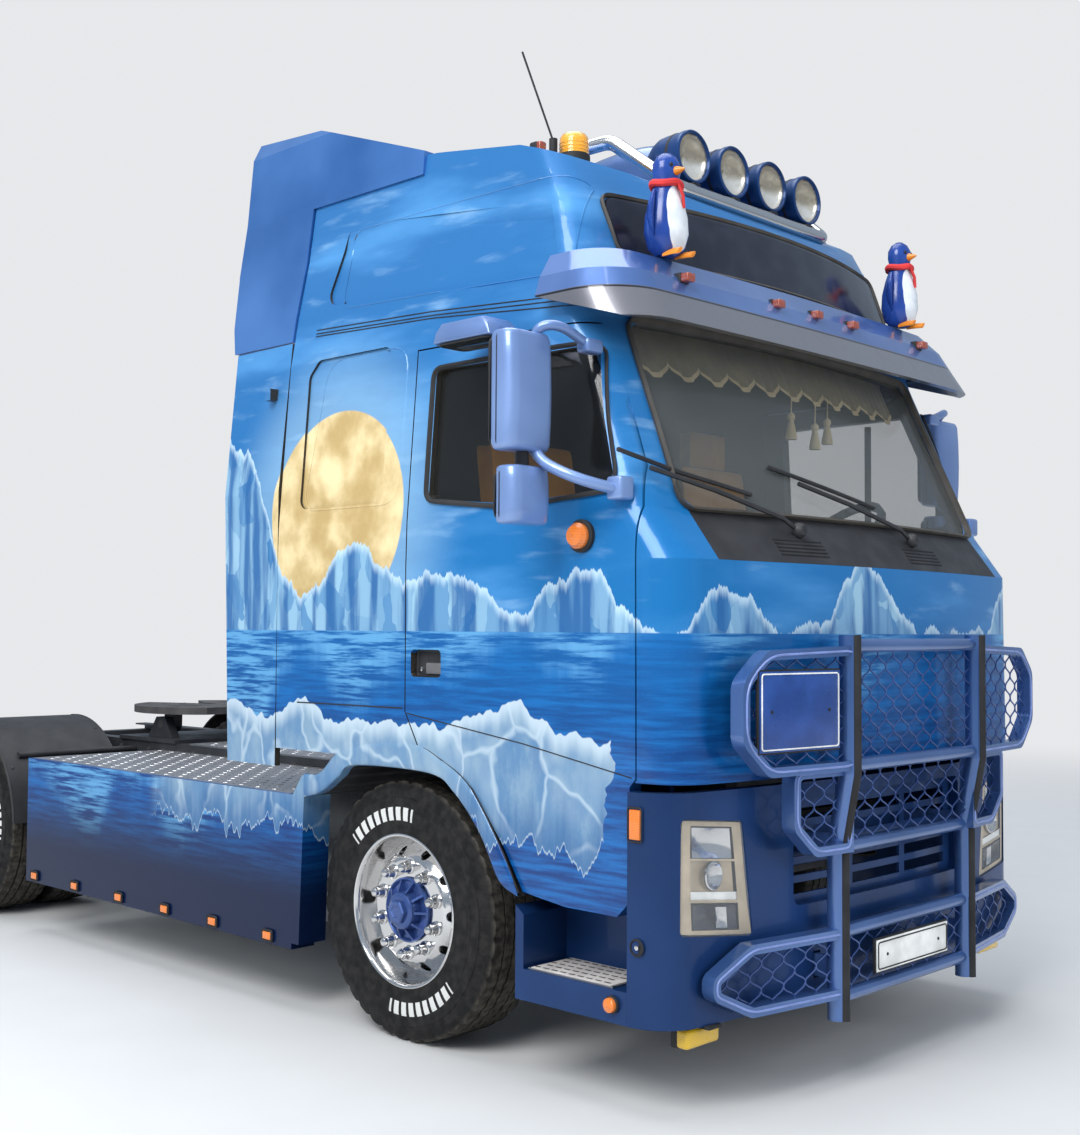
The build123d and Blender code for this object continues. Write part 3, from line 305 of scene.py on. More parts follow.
        # The cab's inner faces are trim in place of paint
        trim = g.over((0.03, 0.026, 0.021), (0.05, 0.043, 0.034), g.noise(180, 3), 0.35, 0.7)
        outside = g.step(g.facing(plan["cabMiddle"]), -0.02, 0.02)
        scenery = g.mix(outside, trim, scenery)
        roughness = g.add(g.times(outside, -0.5), 0.8)
    g.bump(g.noise(260, 2), 0.02, 0.0005)
    return g.finish(scenery, Roughness=roughness, Metallic=0.1, Specular_IOR_Level=0.2,
                    Coat_Weight=0.15 if skirt else 0.45, Coat_Roughness=0.05)


def visorPaint():
    # Silver along the lip, blue above it, a dark line between them
    g = Graph("visorPaint")
    blue = g.over((0.06, 0.135, 0.36), (0.12, 0.22, 0.5), g.noise(1.4, 3), 0.3, 0.7)
    silver = g.over((0.17, 0.17, 0.19), (0.27, 0.27, 0.29), g.noise(900, 1), 0.6, 0.75)
    tone = g.over(silver, blue, g.z, 2.806, 2.812)
    tone = g.mix(g.times(g.step(g.z, 2.798, 2.801), g.step(g.z, 2.809, 2.806)), tone, (0.01, 0.01, 0.014))
    g.bump(g.noise(260, 2), 0.03, 0.0005)
    return g.finish(tone, Roughness=g.step(g.noise(22, 4), 0.45, 0.8, 0.32, 0.38), Metallic=0.5,
                    Coat_Weight=0.8, Coat_Roughness=0.06)


muralPaint = mural("muralPaint")
violetPaint = paint("violetPaint", (0.042, 0.105, 0.28), (0.08, 0.165, 0.4))
mirrorPaint = paint("mirrorPaint", (0.115, 0.2, 0.43), (0.2, 0.31, 0.58), 0.35, 0.38)
navyPaint = paint("navyPaint", (0.006, 0.028, 0.1), (0.013, 0.05, 0.17), 0.3, 0.35, 0.18, 0.2)
roofPaint = paint("roofPaint", (0.02, 0.125, 0.4), (0.075, 0.235, 0.6))
hubBlue = paint("hubBlue", (0.024, 0.055, 0.19), (0.058, 0.112, 0.31), 0.5, 0.3, 0.5, 0.3)
darkPlastic = plastic("darkPlastic", (0.018, 0.018, 0.02))
greyPlastic = plastic("greyPlastic", (0.1, 0.1, 0.105))
boardGloss = plastic("boardGloss", (0.01, 0.012, 0.022), 0.16, 60, 0.02)
rubber = plastic("rubber", (0.012, 0.012, 0.013), 0.72)
screenRubber = plastic("screenRubber", (0.05, 0.044, 0.036), 0.6)
chassisPaint = plastic("chassisPaint", (0.022, 0.023, 0.026), 0.5, 120, 0.3)
castIron = plastic("castIron", (0.045, 0.043, 0.042), 0.65, 160, 0.6)
greaseLook = plastic("greaseLook", (0.01, 0.009, 0.008), 0.25, 60, 0.1)
enamel = plastic("enamel", (0.68, 0.71, 0.76), 0.2, 90, 0.05)
pipingPaint = plastic("pipingPaint", (0.16, 0.22, 0.46), 0.3, 200, 0.1)
lampFrame = plastic("lampFrame", (0.35, 0.28, 0.19), 0.4)
plateWhite = plastic("plateWhite", (0.66, 0.66, 0.63), 0.4, 150, 0.05)
plateBlue = plastic("plateBlue", (0.01, 0.045, 0.2), 0.3, 150, 0.05)
stepAlloy = plastic("stepAlloy", (0.52, 0.49, 0.46), 0.42, 200, 0.2)
scarfLook = plastic("scarfLook", (0.55, 0.03, 0.03), 0.8, 160, 0.5)
beakLook = plastic("beakLook", (0.62, 0.2, 0.015), 0.3, 90, 0.05)
polished = metal("polished", (0.72, 0.71, 0.7), 0.14)
deckMetal = metal("deckMetal", (0.42, 0.42, 0.43), 0.42, 30, (1, 12, 1))
brushed = metal("brushed", (0.62, 0.64, 0.66), 0.33)
mirrorFace = metal("mirrorFace", (0.75, 0.78, 0.8), 0.05)
clearGlass = glass("clearGlass", (0.19, 0.21, 0.21), alpha=0.24)
doorGlass = glass("doorGlass", (0.022, 0.024, 0.024), alpha=0.3)
lampFace = glass("lampFace", (0.42, 0.42, 0.4), 0.05, 0.12)
clearLens = lens("clearLens", (0.55, 0.57, 0.58), 0.05, 0.16)
amberLens = lens("amberLens", (0.8, 0.19, 0.012))
beaconLens = lens("beaconLens", (0.92, 0.36, 0.01), 0.08)
redLens = lens("redLens", (0.42, 0.012, 0.01))
rustLens = lens("rustLens", (0.3, 0.05, 0.016))
yellowLens = lens("yellowLens", (0.72, 0.44, 0.008))
velvet = cloth("velvet", (0.17, 0.125, 0.045), (0.3, 0.225, 0.085), 300)
fringe = cloth("fringe", (0.62, 0.47, 0.22), (0.82, 0.68, 0.4), 500)
seatCloth = cloth("seatCloth", (0.6, 0.25, 0.012), (0.82, 0.4, 0.03), 260)
bunkCloth = cloth("bunkCloth", (0.1, 0.085, 0.07), (0.2, 0.17, 0.14), 260)

slotLooks = {
    "chassis_paint": chassisPaint, "cast_iron": castIron, "engine_paint": greyPlastic, "tyre": rubber,
    "black_rubber": rubber, "polished_alloy": polished, "deck_alloy": deckMetal, "tank_alloy": brushed,
    "machined_steel": castIron, "polished_steel": polished, "cab_paint": muralPaint,
    "violet_paint": violetPaint, "navy_paint": navyPaint, "blue_paint": roofPaint,
    "dark_plastic": darkPlastic, "grey_plastic": greyPlastic, "black_board": boardGloss,
    "window_glass": clearGlass, "lamp_lens": clearLens, "amber_lens": amberLens, "red_lens": redLens,
    "seat_fabric": greyPlastic, "bunk_fabric": greyPlastic, "pelmet_fabric": greyPlastic,
    "figure_enamel": enamel,
}
# Nodes whose look differs from their slot's
nodeLooks = {"side_skirts": mural("skirtPaint", True), "sun_visor": visorPaint(), "lower_grille": navyPaint,
             "door_glass_right": doorGlass, "door_glass_left": doorGlass}
for part in frame["record"]["subparts"]:
    for slot in frame["nodes"][part["node"]].material_slots:
        slot.material = nodeLooks.get(part["node"], slotLooks[part["material_slot"]])
print("materials done")

# Studio: pale floor, soft lights, pale world
floorMesh = bpy.data.meshes.new("floor")
floorMesh.from_pydata([(-60, -60, 0), (60, -60, 0), (60, 60, 0), (-60, 60, 0)], [], [(0, 1, 2, 3)])
floor = bpy.data.objects.new("floor", floorMesh)
scene.collection.objects.link(floor)
g = Graph("floorLook")
grain = g.noise(3, 4)
g.finish(g.mix(grain, (0.60, 0.60, 0.59), (0.64, 0.64, 0.63)), Roughness=0.85)
# Far from the object the floor fades into the pale background
far = g.node("ShaderNodeVectorMath", {0: g.position}, operation="LENGTH").outputs[1]
rays = g.tree.nodes.new("ShaderNodeLightPath")
shown = g.math("MAXIMUM", rays.outputs["Is Camera Ray"], rays.outputs["Is Transmission Ray"])
haze = g.tree.nodes.new("ShaderNodeEmission")
haze.inputs[0].default_value = (0.80, 0.81, 0.83, 1)
blend = g.tree.nodes.new("ShaderNodeMixShader")
g.put(blend.inputs[0], g.math("MULTIPLY", shown, g.step(far, 5.5, 16)))
g.put(blend.inputs[1], g.shader.outputs[0])
g.put(blend.inputs[2], haze.outputs[0])
g.put(g.tree.nodes["Material Output"].inputs[0], blend.outputs[0])
floorMesh.materials.append(g.material)

world = bpy.data.worlds.new("world")
world.use_nodes = True
scene.world = world
tree = world.node_tree
background = tree.nodes["Background"]
background.inputs["Strength"].default_value = 0.50
background.inputs["Color"].default_value = (0.66, 0.80, 1.0, 1)
pale = tree.nodes.new("ShaderNodeBackground")
pale.inputs["Color"].default_value = (0.80, 0.81, 0.83, 1)
pale.inputs["Strength"].default_value = 1.0
path = tree.nodes.new("ShaderNodeLightPath")
seen = tree.nodes.new("ShaderNodeMath")
seen.operation = "MAXIMUM"
tree.links.new(path.outputs["Is Camera Ray"], seen.inputs[0])
tree.links.new(path.outputs["Is Transmission Ray"], seen.inputs[1])
choose = tree.nodes.new("ShaderNodeMixShader")
tree.links.new(seen.outputs[0], choose.inputs[0])
tree.links.new(background.outputs[0], choose.inputs[1])
tree.links.new(pale.outputs[0], choose.inputs[2])
tree.links.new(choose.outputs[0], tree.nodes["World Output"].inputs[0])

lightPlan = {
    # name: place, aimed at, size, power
    "key": ((-9, -4, 9), (0, 0, 1.5), 6, 1250),
    "front": ((1, -13, 5), (0, -2, 1.5), 6, 520),
    "top": ((0, 0, 12), (0, 0, 0), 9, 800),
    "rear": ((9, 8, 7), (0, 0, 1.5), 6, 420),
    "side": ((-13, 3, 4), (0, 1, 1.5), 6, 420),
}
softNames = ("front", "side", "rear")
for name, (place, target, size, power) in lightPlan.items():
    lamp = bpy.data.objects.new(name, bpy.data.lights.new(name, "AREA"))
    lamp.data.size = size
    lamp.data.energy = power
    lamp.location = place
    lamp.rotation_euler = (Vector(target) - Vector(place)).to_track_quat("-Z", "Y").to_euler()
    lamp.visible_glossy = name not in softNames
    scene.collection.objects.link(lamp)
print("studio done")

# Helpers for pieces
trees = {}


def hit(nodeNames, start, direction):
    # Place and normal of the first point of these CAD nodes along a ray
    best = None
    for name in nodeNames:
        if name not in trees:
            mesh = frame["nodes"][name].data
            trees[name] = BVHTree.FromPolygons([v.co for v in mesh.vertices],
                                               [tuple(p.vertices) for p in mesh.polygons])
        point, normal, _, far = trees[name].ray_cast(Vector(start), Vector(direction).normalized())
        if point is not None and (best is None or far < best[2]):
            best = (point, normal, far)
    return best


def fromFront(nodeNames, x, z):
    return hit(nodeNames, (x, -5, z), (0, 1, 0))


def fromAbove(nodeNames, x, y, height=1.5):
    return hit(nodeNames, (x, y, height), (0, 0, -1))


def onSide(y, z, out=0.0):
    # A point on the cab's right-hand side, or that far outside it
    return hit(("door_right", "cab_shell", "corner_panels"), (-3, y, z), (1, 0, 0))[0] + Vector((-out, 0, 0))


def meshFrom(name, bm, looks, smooth):
    bmesh.ops.recalc_face_normals(bm, faces=bm.faces)
    mesh = bpy.data.meshes.new(name)
    bm.to_mesh(mesh)
    bm.free()
    if smooth:
        mesh.shade_smooth()
        mesh.set_sharp_from_angle(angle=smooth)
    for look in looks if isinstance(looks, tuple) else (looks,):
        mesh.materials.append(look)
    return mesh


def addPiece(name, bm, body, looks, smooth=0.6):
    obj = bpy.data.objects.new(name, meshFrom(name, bm, looks, smooth))
    scene.collection.objects.link(obj)
    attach(obj, body)
    return obj


def bothSides(name, bm, bodies, looks, smooth=0.6):
    # bodies are the right-hand and the left-hand one
    other = bm.copy()
    bmesh.ops.scale(other, verts=other.verts, vec=(-1, 1, 1))
    bmesh.ops.reverse_faces(other, faces=other.faces)
    return [addPiece(name + "_right", bm, bodies[0], looks, smooth),
            addPiece(name + "_left", other, bodies[1], looks, smooth)]


def rowFaces(bm, rows, look=0, around=False, joined=False, ends=False):
    # Faces between rows of points; around closes each row, joined closes the last row to the first
    faces = []
    for k in range(len(rows) if joined else len(rows) - 1):
        first, second = rows[k], rows[(k + 1) % len(rows)]
        for i in range(len(first) if around else len(first) - 1):
            j = (i + 1) % len(first)
            faces.append(bm.faces.new((first[i], first[j], second[j], second[i])))
    if ends:
        faces += [bm.faces.new(rows[0]), bm.faces.new(rows[-1])]
    for face in faces:
        face.material_index = look
    return faces


def spin(bm, profile, place, axis, segments, look=0, closed=False, way=1):
    # Turns a profile of (along, radius) round an axis through place; way -1 points it back along X
    rings = []
    for k in range(segments):
        t = 2 * math.pi * k / segments
        ring = []
        for along, radius in profile:
            a, b = radius * math.cos(t), radius * math.sin(t)
            offset = {"X": (way * along, a, b), "Y": (a, along, b), "Z": (a, b, along)}[axis]
            ring.append(bm.verts.new(Vector(place) + Vector(offset)))
        rings.append(ring)
    rowFaces(bm, rings, look, closed, True)
    return rings


def spinAll(bm, place, axis, rows, way=1):
    # rows of profile, segments, look
    for profile, segments, look in rows:
        spin(bm, profile, place, axis, segments, look, way=way)


def tube(bm, points, radius, sides=8, closed=False, look=0, flat=1.0):
    # A round tube along points; flat below 1 makes it lower than it is wide
    points = [Vector(p) for p in points]
    count = len(points)
    rings = []
    side = None
    for i, point in enumerate(points):
        ahead = points[(i + 1) % count] if closed or i < count - 1 else point
        behind = points[i - 1] if closed or i > 0 else point
        along = (ahead - behind).normalized()
        if side is None:
            side = along.orthogonal().normalized()
        side = (side - along * side.dot(along)).normalized()
        other = along.cross(side)
        turns = [2 * math.pi * k / sides for k in range(sides)]
        rings.append([bm.verts.new(point + radius * (math.cos(t) * side + flat * math.sin(t) * other))
                      for t in turns])
    rowFaces(bm, rings, look, True, closed, not closed)
    return rings


def rectangle(axis, at, low, high):
    # Four corners in the plane where this axis has the value at
    corners = (low, (high[0], low[1]), high, (low[0], high[1]))
    return [Vector((*corner[:axis], at, *corner[axis:])) for corner in corners]


def roundedLoop(points, radius, steps=5):
    # A closed outline with its corners rounded
    points = [Vector(p) for p in points]
    loop = []
    for i, corner in enumerate(points):
        before, after = points[i - 1], points[(i + 1) % len(points)]
        reach = min(radius, (before - corner).length * 0.45, (after - corner).length * 0.45)
        start = corner + (before - corner).normalized() * reach
        end = corner + (after - corner).normalized() * reach
        for k in range(steps + 1):
            t = k / steps
            loop.append((1 - t) ** 2 * start + 2 * t * (1 - t) * corner + t ** 2 * end)
    return loop


def dense(points, pitch, closed=True):
    # More points along straight runs
    made = []
    count = len(points)
    for i in range(count if closed else count - 1):
        a, b = points[i], points[(i + 1) % count]
        steps = max(1, int((b - a).length / pitch))
        made += [a.lerp(b, k / steps) for k in range(steps)]
    return made if closed else made + [points[-1]]


def curve(points, steps=8):
    # A smooth line near guide points, read from a spline
    data = bpy.data.curves.new("guide", "CURVE")
    data.dimensions = "3D"
    data.resolution_u = steps
    line = data.splines.new("NURBS")
    line.points.add(len(points) - 1)
    for point, place in zip(line.points, points):
        point.co = (*place, 1)
    line.order_u = 3
    line.use_endpoint_u = True
    holder = bpy.data.objects.new("guide", data)
    mesh = bpy.data.meshes.new_from_object(holder)
    made = [v.co.copy() for v in mesh.vertices]
    bpy.data.objects.remove(holder)
    bpy.data.curves.remove(data)
    bpy.data.meshes.remove(mesh)
    return made


def bent(points, reach):
    # Guide points near each corner, so the bends stay short and the runs straight
    points = [Vector(p) for p in points]
    made = [points[0]]
    for before, corner, after in zip(points, points[1:], points[2:]):
        made += [corner + (before - corner).normalized() * reach, corner,
                 corner + (after - corner).normalized() * reach]
    return curve(made + [points[-1]])


def through(points, steps=7):
    # A smooth line that passes through every point
    points = [Vector(p) for p in points]
    made = []
    for i in range(len(points) - 1):
        before, a, b = points[max(0, i - 1)], points[i], points[i + 1]
        after = points[min(len(points) - 1, i + 2)]
        for k in range(steps):
            t = k / steps
            made.append(0.5 * (2 * a + (b - before) * t + (2 * before - 5 * a + 4 * b - after) * t ** 2
                               + (3 * a - before - 3 * b + after) * t ** 3))
    return made + [points[-1]]


def softBox(bm, low, high, edge=0.004, look=0, segments=2):
    # A block with rounded edges
    low, high = Vector(low), Vector(high)
    verts = bmesh.ops.create_cube(bm, size=1)["verts"]
    for v in verts:
        v.co = (low + high) / 2 + Vector(v.co[i] * (high - low)[i] for i in range(3))
    for face in {f for v in verts for f in v.link_faces}:
        face.material_index = look
    edges = list({e for v in verts for e in v.link_edges})
    result = bmesh.ops.bevel(bm, geom=edges, offset=edge, segments=segments, profile=0.5, affect="EDGES")
    for face in result["faces"]:
        face.material_index = look
    return {v for face in result["faces"] for v in face.verts} | {v for v in verts if v.is_valid}


def block(bm, x, half, low, high, edge=0.004, look=0, segments=2):
    # A soft box as wide on each side of x; low and high give Y from the front axle and Z
    softBox(bm, (x - half, axleY + low[0], low[1]), (x + half, axleY + high[0], high[1]),
            edge, look, segments)


def turned(bm, verts, place, angle, axis):
    bmesh.ops.rotate(bm, verts=[v for v in verts if v.is_valid], cent=Vector(place),
                     matrix=Matrix.Rotation(angle, 3, axis))


# Tyres: grooved tread, shoulder lugs and a bulged sidewall with plain white dashes
tyrePlan = {
    "top": 0.507, "crown": 0.5065, "half": 0.1575, "segments": 156, "groove": 0.013,
    "dashes": 54, "fineRibs": 300,
    # how far the lugs and the tread's small cuts sink, as a share of the radius
    "lug": 0.02, "cut": 0.008,
    "ribs": (0.131, 0.086, 0.076, 0.036, 0.026),
    # distance from the middle plane, radius: from the bead up to the swell, then over the shoulder
    "bead": ((0.146, 0.286), (0.152, 0.296), (0.15, 0.304), (0.1545, 0.33)),
    "shoulder": ((0.1525, 0.443), (0.1465, 0.47), (0.1425, 0.482), (0.1375, 0.496)),
}


def tyreLook():
    g = Graph("tyreLook")
    angle = g.math("DIVIDE", g.math("ARCTAN2", g.y, g.z), 2 * math.pi)
    radius = g.math("SQRT", g.add(g.math("POWER", g.y, 2), g.math("POWER", g.z, 2)))
    tone = g.over((0.006, 0.006, 0.006), (0.02, 0.019, 0.018), g.noise(30, 5), 0.3, 0.75)
    dusty = g.step(radius, 0.486, 0.507)
    tone = g.mix(g.times(dusty, g.step(g.noise(40, 4), 0.3, 0.7, 0.1, 0.55)), tone, (0.13, 0.115, 0.09))
    turns = g.math("FRACT", g.times(angle, tyrePlan["dashes"]))
    dash = g.times(g.step(turns, 0.18, 0.2), g.step(turns, 0.84, 0.82))
    group = g.math("ABSOLUTE", g.less(g.math("FRACT", g.add(g.times(angle, 2), 0.39)), 0.5))
    ring = g.times(g.step(radius, 0.35, 0.352), g.step(radius, 0.404, 0.402))
    outer = g.step(g.math("ABSOLUTE", g.x), 0.12, 0.13)
    white = g.times(g.times(dash, g.step(group, 0.165, 0.16)), g.times(ring, outer))
    tone = g.mix(white, tone, (0.62, 0.62, 0.6))
    ribs = g.math("SINE", g.times(angle, 2 * math.pi * tyrePlan["fineRibs"]))
    fine = g.times(ribs, g.times(g.step(radius, 0.445, 0.45), g.step(radius, 0.474, 0.47)))
    g.bump(g.add(fine, g.noise(240, 3)), 0.35, 0.0012)
    return g.finish(tone, Roughness=g.step(g.noise(18, 3), 0.2, 0.8, 0.5, 0.75), Specular_IOR_Level=0.2)


def tyreMesh():
    plan = tyrePlan
    half, ribs, top, crown, groove = (plan[key] for key in ("half", "ribs", "top", "crown", "groove"))
    swell = ((half, 0.372), (half, 0.396), (half - 0.0012, 0.397), (half - 0.0012, 0.44))
    tread = ((ribs[0], 0.5035), (ribs[1], crown), (ribs[1], crown - groove), (ribs[2], crown - groove),
             (ribs[2], top), (ribs[3], top), (ribs[3], top - groove), (ribs[4], top - groove), (ribs[4], top))
    outline = plan["bead"] + swell + plan["shoulder"] + tread
    profile = [(-x, r) for x, r in outline] + [(x, r) for x, r in reversed(outline)]
    bm = bmesh.new()
    rings = spin(bm, profile, (0, 0, 0), "X", plan["segments"])
    shoulder = [i for i, (x, r) in enumerate(profile) if abs(x) > 0.13 and r > 0.481]
    middle = [i for i, (x, r) in enumerate(profile) if abs(x) < 0.128 and r > 0.503]
    for every, places, sunk in ((4, shoulder, plan["lug"]), (3, middle, plan["cut"])):
        for ring in rings[::every]:
            for i in places:
                ring[i].co.y *= 1 - sunk
                ring[i].co.z *= 1 - sunk
    return meshFrom("tyre", bm, tyreLook(), 0.55)


sharedTyre = tyreMesh()
tyrePlaces = {
    # node: body, places along X, Y, quarter turns of the first tyre
    "tyre_front_right": ("front_wheel_right", (-1.03,), axleY, 0),
    "tyre_front_left": ("front_wheel_left", (1.03,), axleY, 1),
    "tyres_rear_right": ("rear_wheels_right", (-1.067, -0.717), rearAxleY, 1),
    "tyres_rear_left": ("rear_wheels_left", (1.067, 0.717), rearAxleY, 0),
}
for node, (body, places, y, turn) in tyrePlaces.items():
    for k, x in enumerate(places):
        one = bpy.data.objects.new(node + "_detail_" + str(k), sharedTyre)
        scene.collection.objects.link(one)
        quarter = Matrix.Rotation(math.radians(90 * (turn + k)), 4, "X")
        one.matrix_world = Matrix.Translation((x, y, hubZ)) @ quarter
        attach(one, body)
        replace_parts(one, node)
print("tyres done")

# Wheels: a polished barrel with its lip, a dished disc with ten hand holes, nut covers and a ribbed blue hub
wheelPlan = {
    "nuts": 10, "circle": 0.1675, "wall": 0.022, "flat": 0.198, "joint": 0.2575, "rim": 0.2615,
    "holeCircle": 0.228, "holeRadius": 0.0195, "holeLip": 0.0015, "band": (0.202, 0.2535), "perSector": 8,
    "perSide": 4, "drum": 0.2,
    # distance from the wheel's middle, radius: from the well out to the flange, then back under the tyre
    "barrel": ((0.045, 0.2575), (0.066, 0.2645), (0.082, 0.2735), (0.108, 0.2785), (0.134, 0.2795),
               (0.146, 0.2835), (0.1525, 0.2885), (0.1545, 0.2945), (0.1525, 0.2985), (0.147, 0.2995),
               (0.139, 0.287), (0.06, 0.2865), (0.03, 0.266)),
    # distance outwards from the disc's face, radius
    "flange": ((-0.01, 0.118), (0.006, 0.1275), (0.013, 0.126), (0.016, 0.119), (0.004, 0.11), (0.006, 0.082),
               (0.002, 0.074)),
    "cover": ((0, 0.0285), (0.005, 0.0285), (0.008, 0.024), (0.013, 0.0215), (0.034, 0.0205), (0.037, 0.0185),
              (0.044, 0.018), (0.0505, 0.0145), (0.0545, 0.008), (0.0555, 0.001)),
    # the same from the hub's end
    "cap": ((0, 0.05), (0.017, 0.048), (0.0215, 0.042), (0.0215, 0.026), (0.0185, 0.022), (0.0185, 0.001)),
    # X of the front wheel, of the rear pair's outer and inner wheels and of the middle between them
    "front": 1.03, "rearOuter": 1.067, "rearInner": 0.717, "rearMiddle": 0.892,
}


def wheelDisc(bm, x, y, side, face, slope, holes):
    # Front and back skins with hand holes between them
    plan = wheelPlan
    nuts, steps, perSide, low, high = plan["nuts"], plan["perSector"], plan["perSide"], *plan["band"]
    count = nuts * steps

    def skinPoint(radius, angle, depth):
        t = max(0.0, min(1.0, (radius - plan["flat"]) / (plan["joint"] - plan["flat"])))
        height = face + slope * t ** 1.6 - depth
        return bm.verts.new((x + side * height, y + radius * math.sin(angle),
                             hubZ + radius * math.cos(angle)))

    for depth in (0.0, plan["wall"]):
        for radii in ((0.075, 0.13, 0.19, low), (high, plan["rim"])) if holes else (
                (0.075, 0.19, low, high, plan["rim"]),):
            rings = [[skinPoint(r, 2 * math.pi * k / count, depth) for k in range(count)] for r in radii]
            rowFaces(bm, rings, around=True)
    if not holes:
        return
    middle, half = plan["holeCircle"], math.pi / nuts
    border = [(-half + 2 * half * i / steps, low) for i in range(steps)]
    border += [(half, low + (high - low) * i / perSide) for i in range(perSide)]
    border += [(half - 2 * half * i / steps, high) for i in range(steps)]
    border += [(-half, high - (high - low) * i / perSide) for i in range(perSide)]
    for k in range(nuts):
        turn = 2 * math.pi * (k + 0.5) / nuts
        skins = []
        for depth, lip in ((0.0, plan["holeLip"]), (plan["wall"], -plan["holeLip"])):
            rings = [[skinPoint(r, turn + a, depth) for a, r in border]]
            for grow, sunk in ((0.003, depth), (0.0, depth + lip)):
                ring = []
                for a, r in border:
                    d = Vector((middle * a, r - middle)).normalized() * (plan["holeRadius"] + grow)
                    ring.append(skinPoint(middle + d[1], turn + d[0] / middle, sunk))
                rings.append(ring)
            skins.append(rings)
        for rings in (*skins, (skins[0][2], skins[1][2])):
            rowFaces(bm, rings, around=True)


def rimPiece(bm, x, y, side, face, slope, holes=True):
    barrel = wheelPlan["barrel"]
    spin(bm, [(-a, r) for a, r in reversed(barrel)] + list(barrel), (x, y, hubZ), "X", 80, closed=True)
    wheelDisc(bm, x, y, side, face, slope, holes)
    bmesh.ops.remove_doubles(bm, verts=bm.verts, dist=0.00002)


def hubPiece(bm, x, y, side, face, reach, drumEnd):
    # Flange, waisted barrel with ribs and a hexagonal cap, and the brake drum behind the disc
    plan = wheelPlan
    place = (x + side * face, y, hubZ)
    nose = ((0, 0.079), (reach * 0.45, 0.074), (reach * 0.9, 0.07), (reach, 0.063), (reach + 0.002, 0.052),
            (reach + 0.002, 0.002))
    cap = [(reach + a, r) for a, r in plan["cap"]]
    spinAll(bm, place, "X", ((plan["flange"], 60, 1), (nose, 48, 1), (cap, 6, 1)), side)
    ends = ((0.001, 0.076), (0.001, 0.121), (0.012, 0.119), (reach * 0.8, 0.0735))
    for k in range(plan["nuts"]):
        made = [[bm.verts.new((place[0] + side * a, y + dy, hubZ + r)) for a, r in ends]
                for dy in (-0.0045, 0.0045)]
        faces = [made[0], made[1][::-1]]
        faces += [(made[0][i], made[1][i], made[1][(i + 1) % 4], made[0][(i + 1) % 4]) for i in range(4)]
        for corners in faces:
            bm.faces.new(corners).material_index = 1
        turned(bm, made[0] + made[1], place, 2 * math.pi * (k + 0.5) / plan["nuts"], "X")
    radius, back = plan["drum"], face - plan["wall"]
    drum = ((back - 0.001, radius - 0.05), (back - 0.001, radius - 0.004), (back - 0.005, radius),
            (drumEnd + 0.02, radius), (drumEnd + 0.018, radius + 0.006), (drumEnd + 0.004, radius + 0.006),
            (drumEnd, radius + 0.002), (drumEnd, 0.075))
    spin(bm, drum, (x, y, hubZ), "X", 60, 2, way=side)


def nutsAndValve(bm, x, y, side, face):
    plan = wheelPlan
    for k in range(plan["nuts"]):
        t = 2 * math.pi * k / plan["nuts"]
        place = (x + side * face, y + plan["circle"] * math.sin(t), hubZ + plan["circle"] * math.cos(t))
        spin(bm, plan["cover"], place, "X", 18, way=side)
    start = Vector((x + side * (face - 0.002), y + 0.205 * math.sin(0.2), hubZ + 0.205 * math.cos(0.2)))
    tube(bm, [start, start + Vector((side * 0.03, 0.003, 0.008)),
              start + Vector((side * 0.046, 0.005, 0.016))], 0.0042, 8)


wheelLooks = (polished, hubBlue, castIron)
for side, tag in sides:
    front, rear = bmesh.new(), bmesh.new()
    x, outer = side * wheelPlan["front"], side * wheelPlan["rearOuter"]
    inner, middle = side * wheelPlan["rearInner"], side * wheelPlan["rearMiddle"]
    rimPiece(front, x, axleY, side, 0.114, -0.062)
    hubPiece(front, x, axleY, side, 0.114, 0.052, -0.03)
    nutsAndValve(front, x, axleY, side, 0.114)
    piece = addPiece("front_wheel_detail_" + tag, front, "front_wheel_" + tag, wheelLooks, 0.5)
    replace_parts(piece, "wheel_front_" + tag)
    rimPiece(rear, outer, rearAxleY, side, -0.153, 0.13)
    rimPiece(rear, inner, rearAxleY, -side, -0.153, 0.13, False)
    hubPiece(rear, middle, rearAxleY, side, 0.022, 0.13, -0.112)
    nutsAndValve(rear, middle, rearAxleY, side, 0.022)
    piece = addPiece("rear_wheels_detail_" + tag, rear, "rear_wheels_" + tag, wheelLooks, 0.5)
    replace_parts(piece, "wheels_rear_" + tag)
print("wheels done")

# Bull bar: diamond wire mesh in every frame and pale piping on the wings' frames
barPlan = {
    "cellWidth": 0.108, "cellHalf": 0.042, "bond": 0.008, "wire": 0.0034, "post": 0.465, "sway": 0.1,
    # how far the mesh and the piping lie inside the frames' outlines; the piping's radius and its place in Y
    "meshInset": 0.03, "pipingInset": 0.017, "pipingRadius": 0.0042, "pipingY": -0.0275,
    "centreInset": (0.034, 0.022),
}
wingPlan = {
    # name: outline of the right-hand wing in X and Z, degrees back, middle Y, corner radius
    "upper": (((-0.44, 1.56), (-0.93, 1.545), (-1.055, 1.44), (-1.055, 1.235), (-0.925, 1.121),
               (-0.44, 1.121)), 5.7, -3.082, 0.07),
    "middle": (((-0.44, 1.137), (-0.765, 1.137), (-0.765, 0.93), (-0.65, 0.831), (-0.44, 0.831)),
               5.7, -3.057, 0.05),
    "lower": (((-0.44, 0.56), (-0.915, 0.56), (-1.092, 0.47), (-1.092, 0.4), (-0.915, 0.318),
               (-0.44, 0.318)), 9.5, -3.032, 0.045),
}
# low height, high height, Y of the frames between the posts
centrePlan = ((1.137, 1.56, -3.082), (0.845, 1.137, -3.057), (0.318, 0.545, -3.032))


